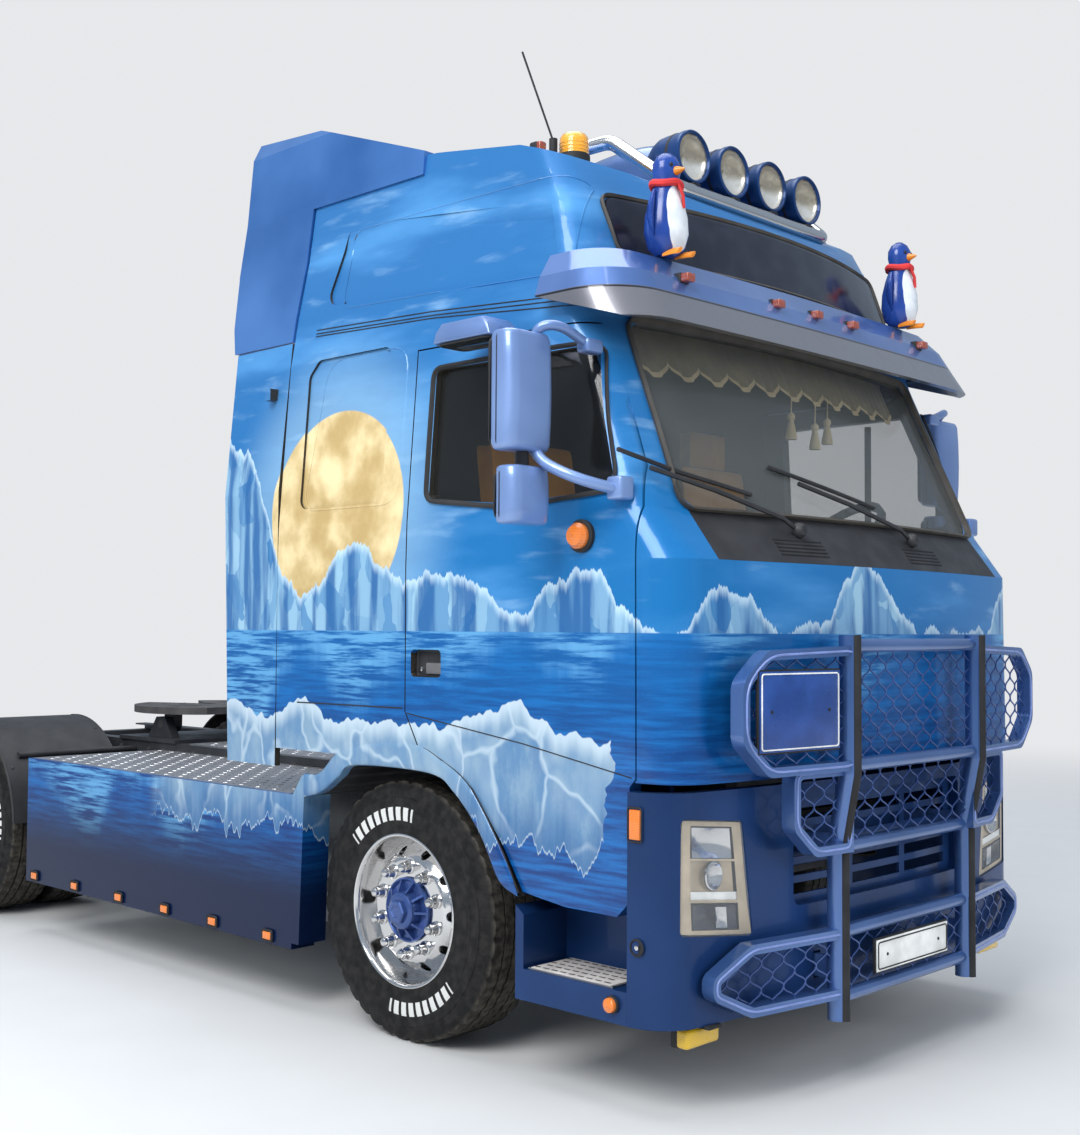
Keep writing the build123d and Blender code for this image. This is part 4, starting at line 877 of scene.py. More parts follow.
def inside(point, outline):
    # Even-odd test in X and Z
    within = False
    for i, (ax, az) in enumerate(outline):
        bx, bz = outline[i - 1]
        if (az > point[1]) != (bz > point[1]) and point[0] < (bx - ax) * (point[1] - az) / (bz - az) + ax:
            within = not within
    return within


def meshWire(bm, points, outline, place):
    # One wire, cut where it leaves the outline
    kept = []
    for a, b in zip(points, points[1:] + points[-1:]):
        if inside(a, outline):
            kept.append(a)
        if inside(a, outline) != inside(b, outline):
            near, far = (a, b) if inside(a, outline) else (b, a)
            for _ in range(9):
                middle = ((near[0] + far[0]) / 2, (near[1] + far[1]) / 2)
                if inside(middle, outline):
                    near = middle
                else:
                    far = middle
            if not kept or math.dist(kept[-1], near) > 0.0005:
                kept.append(near)
    if len(kept) > 1 and math.dist(kept[0], kept[-1]) > 0.004:
        tube(bm, [place(p) for p in kept], barPlan["wire"], 5)


def diamondMesh(bm, outline, place):
    # Wires that bend towards each other and run side by side for a short bond
    width, half, bond = barPlan["cellWidth"], barPlan["cellHalf"], barPlan["bond"]
    (lowX, highX), (lowZ, highZ) = ((min(values), max(values)) for values in zip(*outline))
    rise = half + bond / 2
    for row in range(-1, int((highZ - lowZ) / rise) + 2):
        for column in range(-1, int((highX - lowX) / width) + 2):
            x = lowX + (column + 0.5 * (row % 2)) * width
            z = lowZ + row * rise
            for way in (-1, 1):
                wire = []
                for t in [k / 6 for k in range(7)]:
                    swing = t - barPlan["sway"] * math.sin(2 * math.pi * t)
                    wire.append((x + way * width / 2 * swing, z + half - (half - bond / 2) * t))
                if way < 0:
                    wire.append((x - width / 2, z - bond / 2))
                meshWire(bm, wire, outline, place)


def shrunk(points, radius, inset):
    # Rounded outer corners, then everything pulled in towards the middle line of the frame
    flat = [(p.x, p.z) for p in roundedLoop([(x, 0, z) for x, z in points], radius, 4)]
    area = sum(flat[i - 1][0] * flat[i][1] - flat[i][0] * flat[i - 1][1] for i in range(len(flat)))
    turn = 1 if area > 0 else -1
    made = []
    for i, (x, z) in enumerate(flat):
        before, after = flat[i - 1], flat[(i + 1) % len(flat)]
        d = Vector((after[0] - before[0], after[1] - before[1])).normalized()
        made.append((x - turn * d[1] * inset, z + turn * d[0] * inset))
    return made


meshWires, piping = bmesh.new(), bmesh.new()
for points, angle, y, corner in wingPlan.values():
    hinge = Vector((-barPlan["post"], y, 0))
    turnBack = Matrix.Rotation(-math.radians(angle), 3, "Z")
    for mirrorSide in (1, -1):
        def place(p, dy=0.0):
            spot = turnBack @ (Vector((p[0], y + dy, p[1])) - hinge) + hinge
            return Vector((mirrorSide * spot.x, spot.y, spot.z))

        diamondMesh(meshWires, shrunk(points, corner, barPlan["meshInset"]), place)
        border = [place(p, barPlan["pipingY"]) for p in shrunk(points, corner, barPlan["pipingInset"])]
        tube(piping, border, barPlan["pipingRadius"], 6, True)
for low, high, y in centrePlan:
    inX, inZ = barPlan["centreInset"]
    half, low, high = barPlan["post"] - inX, low + inZ, high - inZ
    diamondMesh(meshWires, [(-half, low), (half, low), (half, high), (-half, high)],
                lambda p: Vector((p[0], y, p[1])))
wires = addPiece("bar_mesh_wires", meshWires, "truck", hubBlue)
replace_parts(wires, "bar_mesh")
addPiece("bar_piping", piping, "truck", pipingPaint)
print("bull bar done")

# Headlights: a pale frame round two reflectors, a round projector between them and a clear cover
headlightPlan = {
    # X and Z of the right-hand lamp's corners: outer top, inner top, inner foot, outer foot
    "corners": ((-1.148, 0.988), (-0.868, 0.962), (-0.815, 0.568), (-1.15, 0.604)),
    "middle": (-0.98, 0.78), "projector": (0.5, 0.48, 0.01),
    # low u, high u, low v, high v, depth, bulge, look, steps
    "patches": (
        (0.02, 0.98, 0.01, 0.99, 0.034, 0, 0, 8), (0.17, 0.8, 0.07, 0.33, 0.006, 0.022, 1, 8),
        (0.17, 0.8, 0.735, 0.94, 0.006, 0.02, 5, 8), (0.5, 0.66, 0.75, 0.93, 0.005, 0.008, 1, 4),
        (0.14, 0.82, 0.35, 0.62, 0.014, 0.012, 2, 8), (0.1, 0.86, 0.62, 0.7, 0.008, -0.003, 6, 8),
        (0.0, 0.14, 0, 1, 0.004, -0.002, 2, 4), (0.84, 1.0, 0, 1, 0.004, -0.002, 2, 4),
        (0.1, 0.9, 0.0, 0.055, 0.004, -0.002, 2, 4), (0.1, 0.9, 0.95, 1.0, 0.004, -0.002, 2, 4),
        (0.1, 0.9, 0.335, 0.355, 0.004, -0.002, 2, 4), (0.1, 0.9, 0.69, 0.715, 0.004, -0.002, 2, 4),
    ),
    "ring": ((0.0, 0.05), (-0.005, 0.049), (-0.007, 0.044), (0.003, 0.037), (0.01, 0.024), (0.012, 0.001)),
    "lens": ((0.004, 0.03), (-0.004, 0.026), (-0.009, 0.016), (-0.011, 0.001)),
}


def lampPoint(u, v, depth, side):
    # u runs from the outer to the inner edge and v from the top down, depth behind the lamp's front surface
    corners = [Vector(corner) for corner in headlightPlan["corners"]]
    x, z = corners[0].lerp(corners[1], u).lerp(corners[3].lerp(corners[2], u), v)
    spot = fromFront(("headlights",), x, z)
    if spot is None:
        middle = headlightPlan["middle"]
        spot = fromFront(("headlights", "bumper"), x + (middle[0] - x) * 0.03, z + (middle[1] - z) * 0.03)
    point = spot[0] - spot[1] * depth
    return Vector((-side * point.x, point.y, point.z))


def lampPatch(bm, side, u0, u1, v0, v1, depth, bulge, look, steps):
    # A dished patch between u and v limits, bulge metres deep in its middle
    grid = []
    for s in [i / steps for i in range(steps + 1)]:
        row = []
        for t in [j / steps for j in range(steps + 1)]:
            dip = bulge * (1 - (2 * s - 1) ** 2) * (1 - (2 * t - 1) ** 2)
            row.append(bm.verts.new(lampPoint(u0 + (u1 - u0) * s, v0 + (v1 - v0) * t, depth + dip, side)))
        grid.append(row)
    rowFaces(bm, grid, look)


for side, tag in sides:
    bm = bmesh.new()
    for patch in headlightPlan["patches"]:
        lampPatch(bm, side, *patch)
    spinAll(bm, lampPoint(*headlightPlan["projector"], side), "Y",
            ((headlightPlan["ring"], 28, 1), (headlightPlan["lens"], 28, 4)))
    addPiece("headlight_inside_" + tag, bm, "truck",
             (darkPlastic, polished, lampFrame, greyPlastic, clearLens, boardGloss, plateWhite))
print("headlights done")

# Roof lamps: blue shells with a round back, a pale dished reflector and a clear face, on a bent polished bar
roofLampPlan = {
    "xs": (-0.403, -0.135, 0.135, 0.403), "y": -2.332, "z": 3.5,
    # distance backwards, radius
    "shell": ((0.004, 0.09), (-0.004, 0.092), (-0.011, 0.096), (-0.012, 0.102), (-0.008, 0.1065),
              (0.012, 0.1075), (0.018, 0.1055), (0.09, 0.1045), (0.122, 0.101), (0.152, 0.088),
              (0.178, 0.07), (0.194, 0.046), (0.201, 0.022), (0.202, 0.001)),
    "reflector": ((0.0, 0.091), (0.012, 0.088), (0.03, 0.07), (0.042, 0.045), (0.048, 0.018), (0.04, 0.016),
                  (0.036, 0.001)),
    "face": ((-0.003, 0.0915), (-0.009, 0.07), (-0.012, 0.04), (-0.013, 0.001)),
    "band": ((0.046, 0.1055), (0.05, 0.1068), (0.056, 0.1068), (0.06, 0.1052)),
    # guide points of the bar's right-hand half, from its foot inwards; its feet's middle and half widths
    "bar": ((-0.64, axleY - 0.42, 3.56), (-0.6, axleY - 0.56, 3.575), (-0.519, axleY - 0.835, 3.352)),
    "barRadius": 0.03, "foot": (0.64, axleY - 0.42), "footHalf": (0.036, 0.052),
}


def reflectorLook():
    # The upper half mirrors dark ground and the lower half the sky
    g = Graph("reflectorLook")
    tone = g.over((0.88, 0.87, 0.82), (0.36, 0.31, 0.22), g.z, 3.475, 3.515)
    tone = g.over(tone, (0.62, 0.57, 0.44), g.noise(30, 4), 0.45, 0.7, 0, 0.6)
    return g.finish(tone, Roughness=0.25, Metallic=0.35, Coat_Weight=0.6, Coat_Roughness=0.05)


plan = roofLampPlan
lampLooks = (navyPaint, reflectorLook(), lampFace, rubber)
for k, x in enumerate(plan["xs"]):
    bm = bmesh.new()
    spinAll(bm, (x, plan["y"], plan["z"]), "Y",
            [(plan[key], 48, look) for look, key in enumerate(("shell", "reflector", "face", "band"))])
    block(bm, x, 0.014, (-0.8, 3.385), (-0.76, 3.412), 0.004, 3)
    block(bm, x, 0.024, (-0.845, 3.38), (-0.74, 3.391), 0.004, 3)
    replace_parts(addPiece("roof_lamp_face_" + str(k), bm, "truck", lampLooks), "roof_lamps")
bm = bmesh.new()
otherHalf = [(-x, y, z) for x, y, z in reversed(plan["bar"])]
tube(bm, bent([*plan["bar"], *otherHalf], 0.075), plan["barRadius"], 16)
for side in (-1, 1):
    block(bm, side * 0.3, 0.02, (-0.835, 3.338), (-0.505, 3.356))
    x, y = side * plan["foot"][0], plan["foot"][1]
    centre = Vector((x, y))
    halfX, halfY = plan["footHalf"]
    oval = [Vector((x + halfX * math.cos(t), y + halfY * math.sin(t))) - centre
            for t in [2 * math.pi * i / 20 for i in range(20)]]
    # height, size: a flat plate, then a block that gets narrower
    for levels in (((3.47, 1.0), (3.472, 1.03), (3.478, 1.0), (3.482, 0.9)),
                   ((3.482, 1.0), (3.484, 1.03), (3.548, 0.72), (3.552, 0.66))):
        rowFaces(bm, [[bm.verts.new((*(centre + p * grow), z)) for p in oval] for z, grow in levels],
                 around=True, ends=True)
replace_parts(addPiece("lamp_bar_tube", bm, "truck", polished, 0.7), "lamp_bar")
print("roof lamps done")

# Small lamps: each has a dark base and a ribbed lens
smallLampPlan = {
    "visorXs": (-0.84, -0.269, 0.0, 0.269, 0.84), "sideYs": (0.811, 1.227, 1.623, 2.036, 2.464, 2.886),
    "cornerX": 0.98, "sideX": 1.2375, "beacon": (-0.905, axleY - 0.64, 0),
    # height, radius
    "beaconFoot": ((3.36, 0.062), (3.418, 0.062), (3.424, 0.06), (3.424, 0.054)),
    "beaconDome": ((3.424, 0.0565), (3.47, 0.057), (3.49, 0.0545), (3.502, 0.046), (3.508, 0.03),
                   (3.51, 0.001)),
    "beaconRidges": (3.436, 3.45, 3.464),
}
plan = smallLampPlan
bm = bmesh.new()
for x in plan["visorXs"]:
    spot = fromFront(("sun_visor",), x, 2.882)
    back = spot[0].y - axleY if spot else -1.1
    block(bm, x, 0.026, (-1.128, 2.862), (back + 0.02, 2.9))
    block(bm, x, 0.023, (-1.16, 2.865), (-1.122, 2.897), 0.006, 1, 3)
for side in (-1, 1):
    block(bm, side * plan["cornerX"], 0.02, (-0.53, 3.395), (-0.49, 3.486), 0.008, 0, 3)
    block(bm, side * plan["cornerX"], 0.019, (-0.55, 3.42), (-0.526, 3.484), 0.008, 1, 3)
    for y in plan["sideYs"]:
        block(bm, side * plan["sideX"], 0.0065, (y - 0.028, 0.281), (y + 0.028, 0.315), 0.005, 2, 3)
ridges = [(((z - 0.002, 0.0566), (z, 0.0585), (z + 0.002, 0.0568)), 40, 3) for z in plan["beaconRidges"]]
spinAll(bm, plan["beacon"], "Z", ((plan["beaconFoot"], 40, 0), (plan["beaconDome"], 40, 3), *ridges))
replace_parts(addPiece("small_lamps", bm, "truck", (rubber, rustLens, amberLens, beaconLens)), "marker_lamps")

# Window rubbers, screen surround and wipers follow the CAD surfaces
windowPlan = {
    # Y from the axle and Z of the door window; X and Z of the screen and of the board over it
    "door": ((-0.192, 2.108), (-0.192, 2.612), (-0.975, 2.612), (-1.04, 2.35), (-1.1, 2.15), (-1.085, 2.095),
             (-0.64, 2.066)),
    "screen": ((-1.015, 2.04), (1.015, 2.04), (0.962, 2.728), (-0.962, 2.728)),
    "board": ((-0.932, 2.985), (0.932, 2.985), (0.947, 3.232), (-0.947, 3.232)),
}
loop = dense(roundedLoop([(0, y + axleY, z) for y, z in windowPlan["door"]], 0.045), 0.03)
centre = sum(loop, Vector()) / len(loop)
rim = []
for p in loop:
    wide = p + (p - centre).normalized() * 0.012
    rim.append(onSide(wide.y, wide.z, 0.0015))
bm = bmesh.new()
tube(bm, rim, 0.013, 6, True, flat=0.45)
# Pillar between the sliding pane and the quarter light
block(bm, onSide(axleY - 0.643, 2.055, -0.012).x + 0.01, 0.012, (-0.66, 2.075), (-0.635, 2.6), 0.003)
bothSides("window_rubber", bm, doors, rubber)

edge = []
for p in dense(roundedLoop([(x, 0, z) for x, z in windowPlan["screen"]], 0.06), 0.06):
    x, z = p.x + math.copysign(0.012, p.x), p.z + math.copysign(0.01, p.z - 2.4)
    edge.append(fromFront(("cab_shell", "windscreen", "cowl_panel"), x, z)[0] + Vector((0, -0.002, 0)))
bm = bmesh.new()
tube(bm, edge, 0.024, 6, True, flat=0.4)
addPiece("screen_surround", bm, "truck", screenRubber)
loop = dense(roundedLoop([(x, 0, z) for x, z in windowPlan["board"]], 0.05), 0.05)
edge = [fromFront(("name_board", "cab_shell"), p.x, p.z)[0] + Vector((0, -0.003, 0)) for p in loop]
bm = bmesh.new()
tube(bm, edge, 0.017, 6, True, flat=0.45)
addPiece("board_surround", bm, "truck", screenRubber)


def onScreen(x, z, out):
    spot = fromFront(("windscreen", "cowl_panel", "cab_shell"), max(-1.0, min(1.0, x)), z)
    return Vector((x, spot[0].y - out, z))


wiperPlan = {
    "pivots": (-0.5, 0.28), "pivotZ": 1.975, "reach": -0.66, "tipZ": 2.16,
    "bladeStart": -0.12, "bladeLength": 0.62, "bladeZ": 2.215, "bladeFall": 0.115,
    "boss": ((0.0, 0.03), (-0.018, 0.028), (-0.03, 0.018), (-0.032, 0.002)),
}
plan = wiperPlan
for k, x in enumerate(plan["pivots"]):
    bm = bmesh.new()
    foot = onScreen(x, plan["pivotZ"], 0.012)
    tip = onScreen(x + plan["reach"], plan["tipZ"], 0.03)
    tube(bm, [foot, foot.lerp(tip, 0.15) + Vector((0, -0.028, 0.01)),
              foot.lerp(tip, 0.6) + Vector((0, -0.02, 0.01)), tip], 0.009, 6)
    spin(bm, plan["boss"], foot, "Y", 20)
    start = x + plan["reach"] + plan["bladeStart"]
    blade = [onScreen(start + plan["bladeLength"] * t, plan["bladeZ"] - plan["bladeFall"] * t, 0.012)
             for t in [i / 10 for i in range(11)]]
    tube(bm, blade, 0.008, 6)
    addPiece("wiper_" + str(k), bm, "truck", darkPlastic)

# Air inlets in the panel under the screen: level slats that end where the panel does
inletPlan = {"places": (-0.66, 0.18), "low": 1.882, "high": 1.936, "width": 0.27, "slats": 5}
plan = inletPlan
bm = bmesh.new()
for left in plan["places"]:
    for k in range(plan["slats"]):
        z = plan["low"] + (plan["high"] - plan["low"]) * k / (plan["slats"] - 1)
        spots = [fromFront(("cowl_panel",), left + plan["width"] * j / 8, z) for j in range(9)]
        line = [spot[0] + spot[1] * 0.001 for spot in spots if spot]
        if len(line) > 4:
            tube(bm, line, 0.0045, 6, flat=0.6)
print("inlet points", len(bm.verts))
addPiece("cowl_inlets", bm, "truck", rubber)
print("window trim done")

# Mirrors: crowned housings with a dark frame round each glass, on bent arms, and the lamps under them
mirrorPlan = {
    # low corner, high corner of the main and the low housing; every Y here is counted from the axle
    "housings": (((-1.552, -0.96, 2.215), (-1.335, -0.836, 2.625)),
                 ((-1.535, -0.96, 1.965), (-1.345, -0.846, 2.165))),
    "corner": 0.042, "bevel": 0.02, "swell": 0.01,
    # guide points from the door outwards, radius, look
    "arms": (
        (((-1.15, -0.985, 2.592), (-1.225, -0.985, 2.61), (-1.345, -0.985, 2.655), (-1.395, -0.93, 2.65),
          (-1.39, -0.9, 2.6), (-1.39, -0.898, 2.54)), 0.018, 0),
        (((-1.215, -1.155, 2.085), (-1.3, -1.14, 2.092), (-1.385, -1.04, 2.135), (-1.405, -0.93, 2.195),
          (-1.4, -0.905, 2.25)), 0.02, 0),
        (((-1.44, -0.9, 2.12), (-1.44, -0.9, 2.19), (-1.44, -0.9, 2.26)), 0.022, 1),
    ),
    # X, half width, low and high corner in Y and Z
    "feet": ((-1.226, 0.036, (-1.19, 2.05), (-1.12, 2.13)),
             (-1.1925, 0.0425, (-1.015, 2.575), (-0.955, 2.625))),
    # the downward mirror over the right-hand window: Y and Z across it, then X and inset along it
    "kerb": ((-0.702, 2.652), (-0.69, 2.692), (-0.655, 2.727), (-0.445, 2.727), (-0.41, 2.692),
             (-0.398, 2.652)),
    "kerbLength": ((-1.41, 0.014), (-1.404, 0.004), (-1.385, 0), (-1.27, 0), (-1.251, 0.004),
                   (-1.245, 0.014)),
    # distance outwards, radius
    "lamp": ((0.0, 0.046), (-0.03, 0.046), (-0.046, 0.034), (-0.052, 0.002)),
    "lampRing": ((0.004, 0.058), (-0.012, 0.058), (-0.018, 0.05), (-0.018, 0.044)),
}


def housing(bm, low, high):
    # A tall shell: crowned front, rounded upright corners and ends that turn in
    corner, bevel, swell = (mirrorPlan[key] for key in ("corner", "bevel", "swell"))
    low, high = Vector(low) + Vector((0, axleY, 0)), Vector(high) + Vector((0, axleY, 0))
    middle, half = (low + high) / 2, (high - low) / 2
    outline = []
    for sx, sy, start in ((1, 1, 0), (-1, 1, 90), (-1, -1, 180), (1, -1, 270)):
        for t in [math.radians(start + 18 * k) for k in range(6)]:
            outline.append((sx * (half.x - corner) + corner * math.cos(t),
                            sy * (half.y - corner) + corner * math.sin(t)))
    levels = [(-1.0, bevel), (-0.985, bevel * 0.45), (-0.95, 0.004), (-0.88, 0)]
    levels += [(-0.5, 0), (0, 0), (0.5, 0)] + [(-a, b) for a, b in reversed(levels)]
    rings = []
    for share, inset in levels:
        ring = []
        for x, y in outline:
            lean = swell * share ** 2 if y < 0 else 0
            ring.append(bm.verts.new((middle.x + x * (1 - inset / half.x),
                                      middle.y + y * (1 - inset / half.y) + lean, middle.z + half.z * share)))
        rings.append(ring)
    rowFaces(bm, rings, around=True, ends=True)


def mirrorGlass(bm, loop, radius, shift):
    # A dark frame and the glass a little inside it
    tube(bm, loop, radius, 6, True, 1, flat=0.5)
    bm.faces.new([bm.verts.new(p + Vector(shift)) for p in loop]).material_index = 2


plan = mirrorPlan
bm = bmesh.new()
for low, high in plan["housings"]:
    housing(bm, low, high)
    inner = rectangle(1, axleY + high[1], (low[0] + 0.016, low[2] + 0.02),
                      (high[0] - 0.016, high[2] - 0.02))
    mirrorGlass(bm, roundedLoop(inner, 0.03), 0.008, (0, 0.0006, 0))
    seamLoop = rectangle(1, axleY + low[1] + 0.075, (low[0] - 0.0006, low[2] + 0.012),
                         (high[0] + 0.0006, high[2] - 0.012))
    tube(bm, roundedLoop(seamLoop, 0.022), 0.0022, 5, True, 1)
for points, radius, look in plan["arms"]:
    tube(bm, curve([(x, y + axleY, z) for x, y, z in points]), radius, 12, look=look)
for x, half, low, high in plan["feet"]:
    block(bm, x, half, low, high, 0.012, 0, 3)
kerb = bmesh.new()
midY, midZ, halfY, halfZ = -0.55, 2.69, 0.15, 0.037
rows = []
for x, inset in plan["kerbLength"]:
    rows.append([kerb.verts.new((x, axleY + midY + (y - midY) * (1 - inset / halfY),
                                 midZ + (z - midZ) * (1 - inset / halfZ))) for y, z in plan["kerb"]])
rowFaces(kerb, rows, around=True, ends=True)
loop = roundedLoop(rectangle(2, 2.651, (-1.395, axleY - 0.685), (-1.26, axleY - 0.415)), 0.03)
mirrorGlass(kerb, loop, 0.007, (0, 0, -0.002))
for y in (axleY - 0.62, axleY - 0.48):
    tube(kerb, [(-1.13, y, 2.668), (-1.19, y, 2.672), (-1.262, y, 2.684)], 0.014, 10)
mirrorLooks = (mirrorPaint, rubber, mirrorFace)
mirrorPieces = bothSides("side_mirror_shell", bm, doors, mirrorLooks, 0.7)
for piece, tag in zip(mirrorPieces, ("right", "left")):
    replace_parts(piece, "side_mirror_" + tag)
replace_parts(addPiece("kerb_mirror_shell", kerb, "door_right", mirrorLooks, 0.7), "side_mirror_right")
bm = bmesh.new()
spinAll(bm, onSide(axleY - 0.975, 1.935), "X", ((plan["lamp"], 24, 0), (plan["lampRing"], 24, 1)))
bothSides("side_lamp", bm, doors, (amberLens, rubber))
print("mirrors done")

# Step treads: a pale plate with rows of dark slots
treadPlan = {"rows": 5, "columns": 9, "x": -1.205, "y": -1.1, "rowPitch": 0.042, "columnPitch": 0.041,
             "shift": 0.02, "last": -0.77}
plan = treadPlan
bm = bmesh.new()
for row in range(plan["rows"]):
    for column in range(plan["columns"]):
        x = plan["x"] + plan["rowPitch"] * row
        y = plan["y"] + plan["columnPitch"] * column + plan["shift"] * (row % 2)
        if y <= plan["last"]:
            block(bm, x + 0.005, 0.005, (y, 0.4165), (y + 0.03, 0.419), 0.001, 1, 1)
block(bm, -1.116, 0.106, (-1.118, 0.414), (-0.745, 0.4184), 0.002)
bothSides("tread_ribs", bm, bothTruck, (stepAlloy, rubber))

# Fenders: one smooth flared band over each front wheel with a turned-in lip, and a ribbed liner behind it
fenderPlan = {
    # Y from the axle and Z of the wheel arch and of the band's outer edge
    "lip": ((-0.696, 0.66), (-0.598, 0.7), (-0.505, 0.85), (-0.368, 0.99), (-0.215, 1.06), (0.23, 1.06),
            (0.33, 1.01), (0.44, 0.94), (0.56, 0.905)),
    "outer": ((-0.696, 0.673), (-0.604, 0.818), (-0.445, 1.018), (-0.285, 1.112), (-0.15, 1.16),
              (0.07, 1.162), (0.32, 1.11), (0.455, 1.012), (0.56, 1.0)),
    # share of the way from the outer edge to the lip, X
    "section": ((-0.05, -1.234), (-0.045, -1.2405), (0.02, -1.244), (0.3, -1.245), (0.72, -1.244),
                (0.93, -1.2425), (0.985, -1.238), (1.0, -1.231), (1.0, -1.2)),
    "linerXs": (-1.226, -1.1, -0.95, -0.8, -0.645), "linerGap": 0.003, "linerRib": 0.006,
}
plan = fenderPlan
bm = bmesh.new()
lipLine = through(plan["lip"])
rows = []
for lip, outer in zip(lipLine, through(plan["outer"])):
    across = [(x, outer.lerp(lip, t)) for t, x in plan["section"]]
    rows.append([bm.verts.new((x, axleY + p[0], p[1])) for x, p in across])
rowFaces(bm, rows)
rows = []
for i, lip in enumerate(lipLine):
    lift = plan["linerGap"] + (plan["linerRib"] if i % 4 < 2 else 0)
    spot = lip + (lip - Vector((lip[0] * 0.2, hubZ))).normalized() * lift
    rows.append([bm.verts.new((x, axleY + spot[0], spot[1])) for x in plan["linerXs"]])
rowFaces(bm, rows, 1)
for piece in bothSides("fender_band", bm, bothTruck, (muralPaint, darkPlastic), 0.9):
    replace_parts(piece, "fenders")

# Door handles: a dark cup with a lever and a lock
handlePlan = {"low": (-0.275, 1.422), "high": (-0.11, 1.532), "rim": 0.006,
              "lock": ((-0.004, 0.011), (-0.008, 0.01), (-0.009, 0.004), (-0.009, 0.001))}
plan = handlePlan
bm = bmesh.new()
x = onSide(axleY - 0.19, 1.48).x
low, high = plan["low"], plan["high"]
block(bm, x + 0.001, 0.005, low, high)
cup = rectangle(0, x - 0.005, (axleY + low[0] + plan["rim"], low[1] + plan["rim"]),
                (axleY + high[0] - plan["rim"], high[1] - plan["rim"]))
tube(bm, roundedLoop(cup, 0.014), 0.0055, 6, True)
block(bm, x - 0.0085, 0.0055, (-0.27, 1.436), (-0.17, 1.48), 0.005, 1, 3)
block(bm, x - 0.00485, 0.00035, (-0.268, 1.487), (-0.172, 1.522), 0.0003, 2, 1)
spin(bm, plan["lock"], (x, axleY - 0.135, 1.455), "X", 20, 3)
bothSides("door_handle", bm, doors, (darkPlastic, greyPlastic, rubber, polished))


# Seams and pressed lines in the cab's side; points are Y from the axle and Z
def seam(bm, points, radius=0.0022, closed=False, out=0.0004, corner=0.0):
    path = [Vector((0, y, z)) for y, z in points]
    if corner:
        path = roundedLoop(path, corner, 6)
    tube(bm, [onSide(p.y + axleY, p.z, out) for p in dense(path, 0.04, closed)], radius, 5, closed)


doorSeam, sideSeams, pressed = bmesh.new(), bmesh.new(), bmesh.new()
seam(doorSeam, ((-0.09, 1.284), (-0.701, 1.201), (-1.195, 1.115)))
for rear, front in ((2.884, 2.806), (2.868, 2.788), (2.856, 2.765)):
    seam(sideSeams, ((0.61, rear), (-0.15, rear - 0.03), (-0.935, front)), 0.0028)
seam(sideSeams, ((0.61, 1.299), (-0.062, 1.302)), 0.0028)
seam(pressed, ((0.5, 2.735), (-0.02, 2.735), (-0.02, 2.1), (0.62, 2.1)), 0.005, True, -0.002, 0.11)
seam(pressed, ((0.47, 3.3), (-0.78, 3.3), (-0.84, 2.905), (0.47, 2.955)), 0.004, True, -0.0015, 0.08)
bothSides("door_seam", doorSeam, doors, rubber)
bothSides("side_seams", sideSeams, bothTruck, rubber)
bothSides("pressed_lines", pressed, bothTruck, muralPaint)

# Roof pod: one crowned shell
podPlan = {
    "half": 0.33, "base": 3.33, "soft": 0.42, "ends": (0.88, 0.94, 0.97, 0.99),
    # Y from the axle and Z along its top
    "line": ((-0.6, 3.56), (-0.585, 3.625), (-0.53, 3.668), (-0.38, 3.693), (-0.15, 3.68), (-0.02, 3.64),
             (0.03, 3.59)),
}
plan = podPlan
podLine = through(plan["line"], 4)
bm = bmesh.new()
rows = []
for k, p in enumerate(podLine):
    ends = min(k, len(podLine) - 1 - k)
    half = plan["half"] * (plan["ends"][ends] if ends < len(plan["ends"]) else 1.0)
    row = []
    for t in [math.pi * i / 24 for i in range(25)]:
        x = math.copysign(abs(math.cos(t)) ** plan["soft"], math.cos(t)) * half
        z = plan["base"] + (p[1] - plan["base"]) * math.sin(t) ** plan["soft"]
        row.append(bm.verts.new((x, axleY + p[0], z)))
    rows.append(row)
rowFaces(bm, rows, ends=True)
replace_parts(addPiece("roof_pod_shell", bm, "truck", violetPaint, 0.9), "roof_pod")

# Deck plates: rows of raised bars, turned alternately
deckPlan = {
    "pitch": 0.062, "length": 0.036, "width": 0.01, "height": 0.0022,
    # low X, high X, low Y, high Y from the axle, and the sides each field is made for
    "fields": ((-1.195, -0.44, 0.72, 2.97, (1, -1)), (-0.41, 0.41, 1.27, 2.68, (1,))),
    # heights of the two plates' tops, with a little to spare
    "levels": ((0.9, 0.912), (0.955, 0.962)),
    "under": ("deck_plates", "fifth_wheel_base", "fifth_wheel_plate", "rear_mudguards", "cab_shell"),
    "bar": ((-1, 0), (-0.6, -1), (0.6, -1), (1, 0), (0.6, 1), (-0.6, 1)),
}
plan = deckPlan
pitch = plan["pitch"]
bm = bmesh.new()
bars = 0
for x0, x1, y0, y1, fieldSides in plan["fields"]:
    for i in range(int((x1 - x0) / pitch)):
        for j in range(int((y1 - y0) / pitch)):
            x, y = x0 + pitch * (i + 0.5), axleY + y0 + pitch * (j + 0.5)
            spot = fromAbove(plan["under"], x, y, 1.35)
            if spot is None or not any(low <= spot[0].z <= high for low, high in plan["levels"]):
                continue
            turn = math.radians(45 if (i + j) % 2 else -45)
            for side in fieldSides:
                along = Vector((math.cos(turn * side), math.sin(turn * side), 0))
                across = Vector((-along.y, along.x, 0))
                centre = Vector((side * x, y, spot[0].z))
                low, high = [], []
                for a, b in plan["bar"]:
                    flat = along * a * plan["length"] / 2 + across * b * plan["width"] / 2
                    low.append(bm.verts.new(centre + flat - Vector((0, 0, 0.001))))
                    high.append(bm.verts.new(centre + flat * 0.7 + Vector((0, 0, plan["height"]))))
                bm.faces.new(high)
                rowFaces(bm, (low, high), around=True)
                bars += 1
addPiece("deck_tread", bm, "truck", deckMetal, 0.3)
